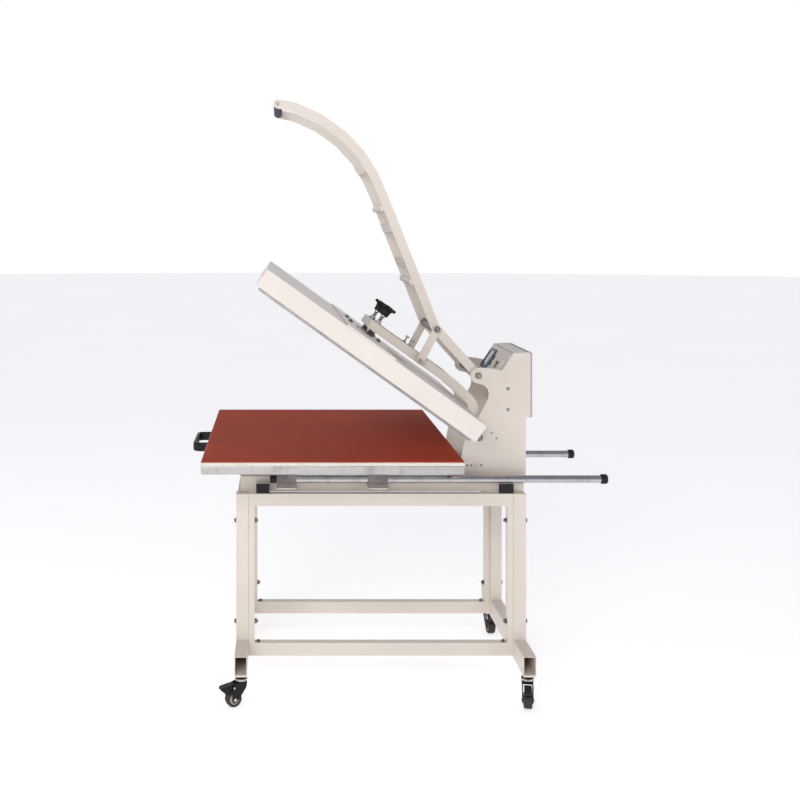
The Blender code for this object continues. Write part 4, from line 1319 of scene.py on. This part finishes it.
@dataclass
class Upright:
    """Side plates, rear cover and control box."""

    hardware: Hardware
    body: str = "stand"
    plate_bolts: tuple[tuple[float, float], ...] = ((0.3687, 0.9830), (0.3687, 0.9134))
    small_screws: tuple[tuple[float, float], ...] = ((0.3137, 0.8368), (0.3300, 0.8181))
    foot_row: tuple[tuple[float, float], ...] = ((0.2320, 0.7288), (0.2460, 0.7288), (0.2790, 0.7288))
    ring_bolt: tuple[float, float] = (0.2620, 0.7288)
    slope: float = radians(55.9)
    panel_top: tuple[float, float] = (0.3870, 1.1016)

    def build(self) -> None:
        """Dresses the plates and adds bolts, the display and the rear cover's details."""
        dress(PAINT, "right_side_plate", "left_side_plate", "upright_brace", "control_box", "control_panel")
        dress(SHEET_PAINT, "rear_cover")
        dress(BLACKED, "handle_shaft", "head_pivot_shaft")
        dress(ROCKER, "power_switch")
        dress(BLACK, "up_key", "down_key")
        self.bolt_plates()
        self.build_display()
        self.finish_rear()

    def on_plates(self, spots: Sequence[tuple[float, float]]) -> list[tuple[Vector, Vector]]:
        """Places on the outer faces of both plates.

        Args:
            spots: Pairs of y and z.

        Returns:
            Seats and outward axes.
        """
        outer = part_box("right_side_plate")[1].x
        return [
            (Vector((sign * outer, y, z)), Vector((sign, 0, 0))) for y, z in spots for sign in SIDES.values()
        ]

    def bolt_plates(self) -> None:
        """Bolts and screws of the plates and the ends of the two shafts."""
        bolts = self.on_plates(self.plate_bolts)
        self.hardware.set("plate_bolts", Fastener.SOCKET, 0.0080, bolts, self.body, STEEL)
        self.hardware.set("plate_screws", Fastener.PAN, 0.0050, self.on_plates(self.small_screws), self.body)
        self.hardware.set("foot_screws", Fastener.PAN, 0.0065, self.on_plates(self.foot_row), self.body)
        ring_bolts = self.on_plates((self.ring_bolt,))
        self.hardware.set("ring_bolts", Fastener.SOCKET, 0.0095, ring_bolts, self.body, ZINC)
        ends = []
        for name in ("handle_shaft", "head_pivot_shaft"):
            low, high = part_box(name)
            level = (low + high) / 2
            ends += [(Vector((sign * (high.x - 0.0040), level.y, level.z)), Vector((sign, 0, 0)))
                     for sign in SIDES.values()]
        self.hardware.set("shaft_end_bolts", Fastener.SOCKET, 0.0150, ends, self.body, STEEL)

    def on_panel(self, x: float, v: float, w: float) -> Vector:
        """A point of the panel's own frame, in the shared frame.

        Args:
            x: Place across the panel.
            v: Place up the slope.
            w: Height above it.

        Returns:
            The point.
        """
        top = Vector((0.0, *self.panel_top))
        up = Vector((0.0, cos(self.slope), sin(self.slope)))
        out = Vector((0.0, -sin(self.slope), cos(self.slope)))
        return top + Vector((x, 0, 0)) + up * v + out * w

    def build_display(self) -> None:
        """Raised bezel with a sunk dark window and key rims."""
        turn = Matrix.Rotation(self.slope, 4, "X")

        def lay(solid: bmesh.types.BMesh, x: float, v: float, w: float) -> bmesh.types.BMesh:
            """Lays a solid on the panel."""
            return moved(solid, Matrix.Translation(self.on_panel(x, v, w)) @ turn)

        bezel = rounded_slab(0.100, 0.078, 0.0042, 0.006, 0.0010)
        piece("display_bezel", lay(bezel, -0.1010, -0.0560, 0.0021), BEZEL, self.body)
        glass = rounded_slab(0.052, 0.060, 0.0012, 0.003, 0.0004)
        piece("display_window", lay(glass, -0.0820, -0.0560, 0.0044), DISPLAY, self.body)
        keypad = rounded_slab(0.026, 0.060, 0.0010, 0.003, 0.0003)
        piece("film_field", lay(keypad, -0.1300, -0.0560, 0.0043), BLACK, self.body)
        rims = []
        for node in ("up_key", "down_key"):
            place = centre(node)
            profile = [(0.0112, 0.0), (0.0130, 0.0), (0.0130, 0.0012), (0.0120, 0.0018), (0.0112, 0.0012)]
            rim = hollow_ring(profile, 4)
            bmesh.ops.rotate(rim, matrix=Matrix.Rotation(pi / 4, 3, "Z"), verts=rim.verts)
            y, z = self.panel_top
            v = (place.y - y) * cos(self.slope) + (place.z - z) * sin(self.slope)
            rims.append(lay(rim, place.x, v, 0.0))
        piece("key_rims", joined(*rims), BLACKED, self.body)

    def finish_rear(self) -> None:
        """Vent slots, screws and a mains inlet on the rear cover."""
        low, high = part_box("rear_cover")
        back = Vector((0, 1, 0))
        margin = 0.012
        spots = [(Vector((x, high.y, z)), back) for x in (low.x + margin, 0.0, high.x - margin)
                 for z in (low.z + margin, high.z - margin)]
        self.hardware.set("rear_screws", Fastener.PAN, 0.0075, spots, self.body, ZINC)
        slots = []
        for row in range(7):
            for column in range(2):
                x = -0.095 + column * 0.062
                z = low.z + 0.060 + row * 0.013
                slots.append(moved(rounded_slab(0.046, 0.0042, 0.0006, 0.0020, 0.0002),
                                   facing(back, Vector((x, high.y + 0.0001, z)))))
        piece("rear_vents", joined(*slots), SHADOW, self.body)
        inlet = rounded_slab(0.050, 0.030, 0.0050, 0.004, 0.0010)
        socket = rounded_slab(0.030, 0.018, 0.0010, 0.003, 0.0003)
        at = Vector((0.095, high.y + 0.0025, low.z + 0.055))
        piece("mains_inlet", moved(inlet, facing(back, at)), BLACK, self.body)
        piece("mains_inlet_well", moved(socket, facing(back, at + back * 0.0028)), SHADOW, self.body)


@dataclass
class Head:
    """Raised head: cover, heater, carrier, springs, studs and pressure knobs."""

    hardware: Hardware
    body: str = "head"
    pad_top: float = 0.0622
    bar: tuple[float, float] = (0.0815, 0.1105)
    screw_x: float = 0.1145
    screw_y: float = -0.4890
    stud_x: float = 0.073
    stud_y: float = -0.353
    lobes: int = 8

    def __post_init__(self) -> None:
        """Works out the head's own frame from its hinge."""
        hinge = joint("head_hinge")
        tilt = radians(max(hinge["range_deg"]))
        self.frame = Matrix.Translation(Vector(hinge["pos_m"])) @ Matrix.Rotation(-tilt, 4, "X")
        self.up = (self.frame.to_3x3() @ Vector((0, 0, 1))).normalized()

    def at(self, x: float, y: float, z: float) -> Vector:
        """A point of the head's own frame, in the shared frame."""
        return self.frame @ Vector((x, y, z))

    def build(self) -> None:
        """Dresses the head and adds knobs, springs, studs and cover screws."""
        dress(COVER_PAINT, "head_cover")
        dress(HEATER, "heater_plate")
        dress(PAINT, "head_carrier")
        for side, sign in SIDES.items():
            self.build_knob(side, sign)
        self.add_studs()
        self.add_cover_details()
        self.weld_bars()

    def build_knob(self, side: str, sign: float) -> None:
        """One pressure screw and its star knob.

        Args:
            side: Right or left.
            sign: 1 for right, -1 for left.
        """
        low, high = self.pad_top + 0.0003, self.bar[1] + 0.046
        body = f"{side}_knob"
        rod = [(0.0052, low), (0.0063, low + 0.0012)]
        pitch = 0.0020
        turns = int((high - low - 0.004) / pitch)
        for i in range(turns):
            rod += [(0.0065, low + 0.0016 + pitch * i), (0.0059, low + 0.0016 + pitch * (i + 0.5))]
        rod.append((0.0060, high))
        seat = self.bar[1] + 0.031
        collar = revolved([(0.0108, seat), (0.0118, seat + 0.0006), (0.0118, seat + 0.0024),
                           (0.0108, seat + 0.003)], 36)
        placement = self.frame @ Matrix.Translation((sign * self.screw_x, self.screw_y, 0))
        piece(f"{side}_screw", moved(joined(revolved(rod, 24), collar), placement), BRIGHT, body,
              (f"{side}_pressure_screw",))
        self.build_star(side, placement, seat + 0.0033)
        washers = [
            revolved([(0.0135, z), (0.0140, z + 0.0004), (0.0140, z + 0.0016), (0.0135, z + 0.002)], 32)
            for z in (self.bar[1] + 0.0001, self.bar[1] + 0.0022)
        ]
        nut = revolved([(0.0105, 0.1150), (0.0112, 0.1156), (0.0112, 0.1214), (0.0105, 0.1220)], 6)
        piece(f"{side}_screw_washers", moved(joined(*washers, nut), placement), ZINC, self.body)

    def build_star(self, side: str, placement: Matrix, low: float) -> None:
        """A star knob with a ribbed hub and lobed rim.

        Args:
            side: Right or left.
            placement: Where its own axis stands.
            low: Height of the hub's foot.
        """
        count = self.lobes * 12
        rim, disc = low + 0.0250, 0.0105

        def ring(radius: float, lobe: float, z: float) -> list[Vector]:
            """A lobed ring.

            Args:
                radius: Radius between the lobes.
                lobe: How far a lobe stands out.
                z: Its height.

            Returns:
                The ring of points.
            """
            points = []
            for i in range(count):
                angle = 2 * pi * i / count
                swell = lobe * (0.5 + 0.5 * cos(self.lobes * angle)) ** 0.6
                points.append(Vector(((radius + swell) * cos(angle), (radius + swell) * sin(angle), z)))
            return points

        star = ring_shell([
            ring(0.0135, 0.0, low), ring(0.0145, 0.0004, low + 0.0010), ring(0.0140, 0.0014, low + 0.010),
            ring(0.0150, 0.0020, rim - 0.004), ring(0.0175, 0.0030, rim - 0.001), ring(0.0215, 0.0055, rim),
            ring(0.0228, 0.0058, rim + 0.0015), ring(0.0230, 0.0058, rim + disc - 0.0025),
            ring(0.0215, 0.0055, rim + disc - 0.0006), ring(0.0180, 0.0030, rim + disc),
            ring(0.0140, 0.0, rim + disc - 0.0010), ring(0.0130, 0.0, rim + disc + 0.0012),
            ring(0.0090, 0.0, rim + disc + 0.0016), ring(0.0030, 0.0, rim + disc + 0.0017)])
        piece(f"{side}_knob_star", moved(star, placement), BLACK, f"{side}_knob", (f"{side}_star_knob",))

    def add_studs(self) -> None:
        """T-headed studs on the rear bar and springs with nuts under the front bar."""
        studs = []
        top = self.bar[1]
        for sign in SIDES.values():
            shaft = revolved([(0.0032, top - 0.002), (0.0032, top + 0.0200)], 20)
            head = revolved([(0.0062, top + 0.0190), (0.0075, top + 0.0200), (0.0075, top + 0.0235),
                             (0.0060, top + 0.0245)], 24)
            foot = revolved([(0.0065, top), (0.0065, top + 0.0045), (0.0055, top + 0.0052)], 6)
            studs.append(moved(joined(shaft, head, foot),
                               self.frame @ Matrix.Translation((sign * self.stud_x, self.stud_y, 0))))
        piece("carrier_studs", joined(*studs), STEEL, self.body)
        gap = self.bar[0] - self.pad_top
        spots = [(self.at(sign * self.screw_x, self.screw_y, self.pad_top + 0.0015), self.up)
                 for sign in SIDES.values()]
        self.hardware.springs("bar_springs", spots, 0.0115, gap - 0.0030, self.body)
        seats = [
            moved(hollow_ring([(0.0075, z), (0.0140, z), (0.0140, z + 0.0022), (0.0075, z + 0.0022)], 32),
                  self.frame @ Matrix.Translation((sign * self.screw_x, self.screw_y, 0)))
            for sign in SIDES.values() for z in (self.pad_top + 0.0001, self.bar[0] - 0.0024)
        ]
        piece("spring_seats", joined(*seats), BLACKED, self.body)

    def add_cover_details(self) -> None:
        """Nuts and slotted plates on the raised part of the cover."""
        nuts = [(self.at(x, y, self.pad_top), self.up)
                for x in (-self.screw_x, -0.085, 0.085, self.screw_x) for y in (-0.567, -0.452)]
        self.hardware.set("cover_nuts", Fastener.NUT, 0.0110, nuts, self.body)
        slots = [
            moved(rounded_slab(0.026, 0.0075, 0.0018, 0.0036, 0.0004),
                  self.frame @ Matrix.Translation((x, -0.538, self.pad_top + 0.0009)))
            for x in (-self.screw_x, self.screw_x)
        ]
        piece("cover_slots", joined(*slots), BLACKED, self.body)

    def weld_bars(self) -> None:
        """Weld beads where the cross bars meet the arms."""
        inner, level = 0.1388, self.bar[1] - 0.0004
        lines = [
            [self.at(sign * inner, y, level) for y in ends]
            for ends in ((-0.5130, -0.4745), (-0.3695, -0.3365))
            for sign in SIDES.values()
        ]
        self.hardware.weld("carrier_welds", lines, 0.0013, self.body)


@dataclass
class Handle:
    """Handle arms, toggle links, their pins and the ribbed grip."""

    hardware: Hardware
    body: str = "handle"
    ribs: int = 46

    def build(self) -> None:
        """Dresses the arms and links and adds the grip, pins and end bolts."""
        dress(PAINT, "handle_frame", "right_toggle_link", "left_toggle_link")
        dress(BLACKED, "link_shaft")
        self.build_grip()
        self.bolt_pins()

    def build_grip(self) -> None:
        """A rubber sleeve with fine ribs between two collars."""
        low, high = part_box("handle_grip")
        middle = (low + high) / 2
        half = high.x - middle.x
        radius = (high.z - low.z) / 2
        collar = [(0.0022, 0.0), (0.0006, 0.0010), (0.0002, 0.0026), (0.0002, 0.0080), (0.0016, 0.0095)]
        profile = [(radius - inset, -half + step) for inset, step in collar]
        profile += [(r, -h) for r, h in profile[::-1]]
        sleeve = revolved(profile, 56)
        piece("grip_sleeve", moved(sleeve, facing(Vector((1, 0, 0)), middle)), GRIP, self.body,
              ("handle_grip",))
        guide = bpy.data.meshes.new("rib_places")
        span = half - 0.012
        steps = [middle.x - span + 2 * span * i / (self.ribs - 1) for i in range(self.ribs)]
        guide.from_pydata([(x, middle.y, middle.z) for x in steps], [], [])
        values = {"Radius": radius - 0.0018, "Rib": 0.0013, "Finish": GRIP.material()}
        mesh_piece("grip_ribs", self.hardware.ribs.run(guide, values), GRIP, self.body)

    def bolt_pins(self) -> None:
        """Bolts at the grip, the link shaft and the links' lower pins."""
        grip = centre("handle_grip")
        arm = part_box("handle_frame")[1].x
        ends = [(Vector((sign * arm, grip.y, grip.z)), Vector((sign, 0, 0))) for sign in SIDES.values()]
        self.hardware.set("grip_bolts", Fastener.SOCKET, 0.0095, ends, self.body, STEEL)
        low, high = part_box("link_shaft")
        upper = (low + high) / 2
        spots = [(Vector((sign * (high.x - 0.0040), upper.y, upper.z)), Vector((sign, 0, 0)))
                 for sign in SIDES.values()]
        self.hardware.set("link_shaft_bolts", Fastener.SOCKET, 0.0130, spots, "links", STEEL)
        low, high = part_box("right_toggle_link")
        eye, sunk = 0.0130, 0.0052
        pins = [(Vector((sign * (high.x - sunk), low.y + eye, low.z + eye)), Vector((sign, 0, 0)))
                for sign in SIDES.values()]
        self.hardware.set("link_pin_bolts", Fastener.SOCKET, 0.0130, pins, "links", STEEL)


@dataclass
class Studio:
    """Pale floor, soft lights and the camera."""

    camera_place: tuple[float, float, float] = (3.84, -0.3885, 1.495)
    lens: float = 49.59
    shift: tuple[float, float] = (0.149, -0.206)

    def build(self) -> None:
        """Makes the floor, the lights and the camera."""
        self.lay_floor()
        self.light("key_light", (4.6, -1.6, 2.6), 2.2, 100.0, (1.0, 0.985, 0.955))
        self.light("fill_light", (3.4, 3.2, 1.4), 2.0, 22.0, (1.0, 0.99, 0.98))
        self.light("front_light", (0.6, -4.4, 1.6), 2.4, 22.0, (0.97, 0.97, 1.0))
        air = Sky("studio_air")
        bpy.context.scene.world = air.surround((1.0, 1.0, 1.0), (0.42, 0.415, 0.43), (0.34, 0.33, 0.38))
        bpy.context.scene.view_settings.view_transform = "Standard"
        self.set_camera()

    def lay_floor(self) -> None:
        """A very large pale floor disc."""
        mesh = bpy.data.meshes.new("floor")
        disc = bmesh.new()
        bmesh.ops.create_circle(disc, cap_ends=True, radius=40.0, segments=96)
        disc.to_mesh(mesh)
        disc.free()
        recipe = Recipe("pale_floor")
        clouds = recipe.noise(0.8, 3.0)
        tone = recipe.blend(clouds, (0.90, 0.90, 0.90), (0.93, 0.93, 0.93))
        mesh.materials.append(
            recipe.finish(Base_Color=tone, Roughness=0.85, Emission_Color=tone, Emission_Strength=0.52)
        )
        floor = bpy.data.objects.new("floor", mesh)
        bpy.context.scene.collection.objects.link(floor)

    def light(self, name: str, place: Sequence[float], size: float, power: float, colour: Colour) -> None:
        """One square area light aimed at the press.

        Args:
            name: Its name.
            place: Where it stands.
            size: Side of the square.
            power: Watts.
            colour: Its tint.
        """
        data = bpy.data.lights.new(name, "AREA")
        data.size = size
        data.energy = power
        data.color = colour
        lamp = bpy.data.objects.new(name, data)
        lamp.location = place
        aim = Vector((0.0, -0.1, 0.9)) - Vector(place)
        lamp.rotation_euler = aim.to_track_quat("-Z", "Y").to_euler()
        bpy.context.scene.collection.objects.link(lamp)

    def set_camera(self) -> None:
        """A level camera on the operator's right."""
        data = bpy.data.cameras.new("camera")
        data.lens = self.lens
        data.sensor_width = 36.0
        data.shift_x, data.shift_y = self.shift
        camera = bpy.data.objects.new("camera", data)
        camera.location = self.camera_place
        camera.rotation_euler = (pi / 2, 0.0, pi / 2)
        bpy.context.scene.collection.objects.link(camera)
        bpy.context.scene.camera = camera


def main() -> None:
    """Builds every sub-assembly in order."""
    logging.basicConfig(level=logging.INFO, format="%(message)s")
    hardware = Hardware()
    Stand(hardware).build()
    for place in ("front_right", "rear_right", "front_left", "rear_left"):
        Caster(place).build()
    Table(hardware).build()
    Upright(hardware).build()
    Head(hardware).build()
    Handle(hardware).build()
    Studio().build()


if __name__ == "__main__":
    main()
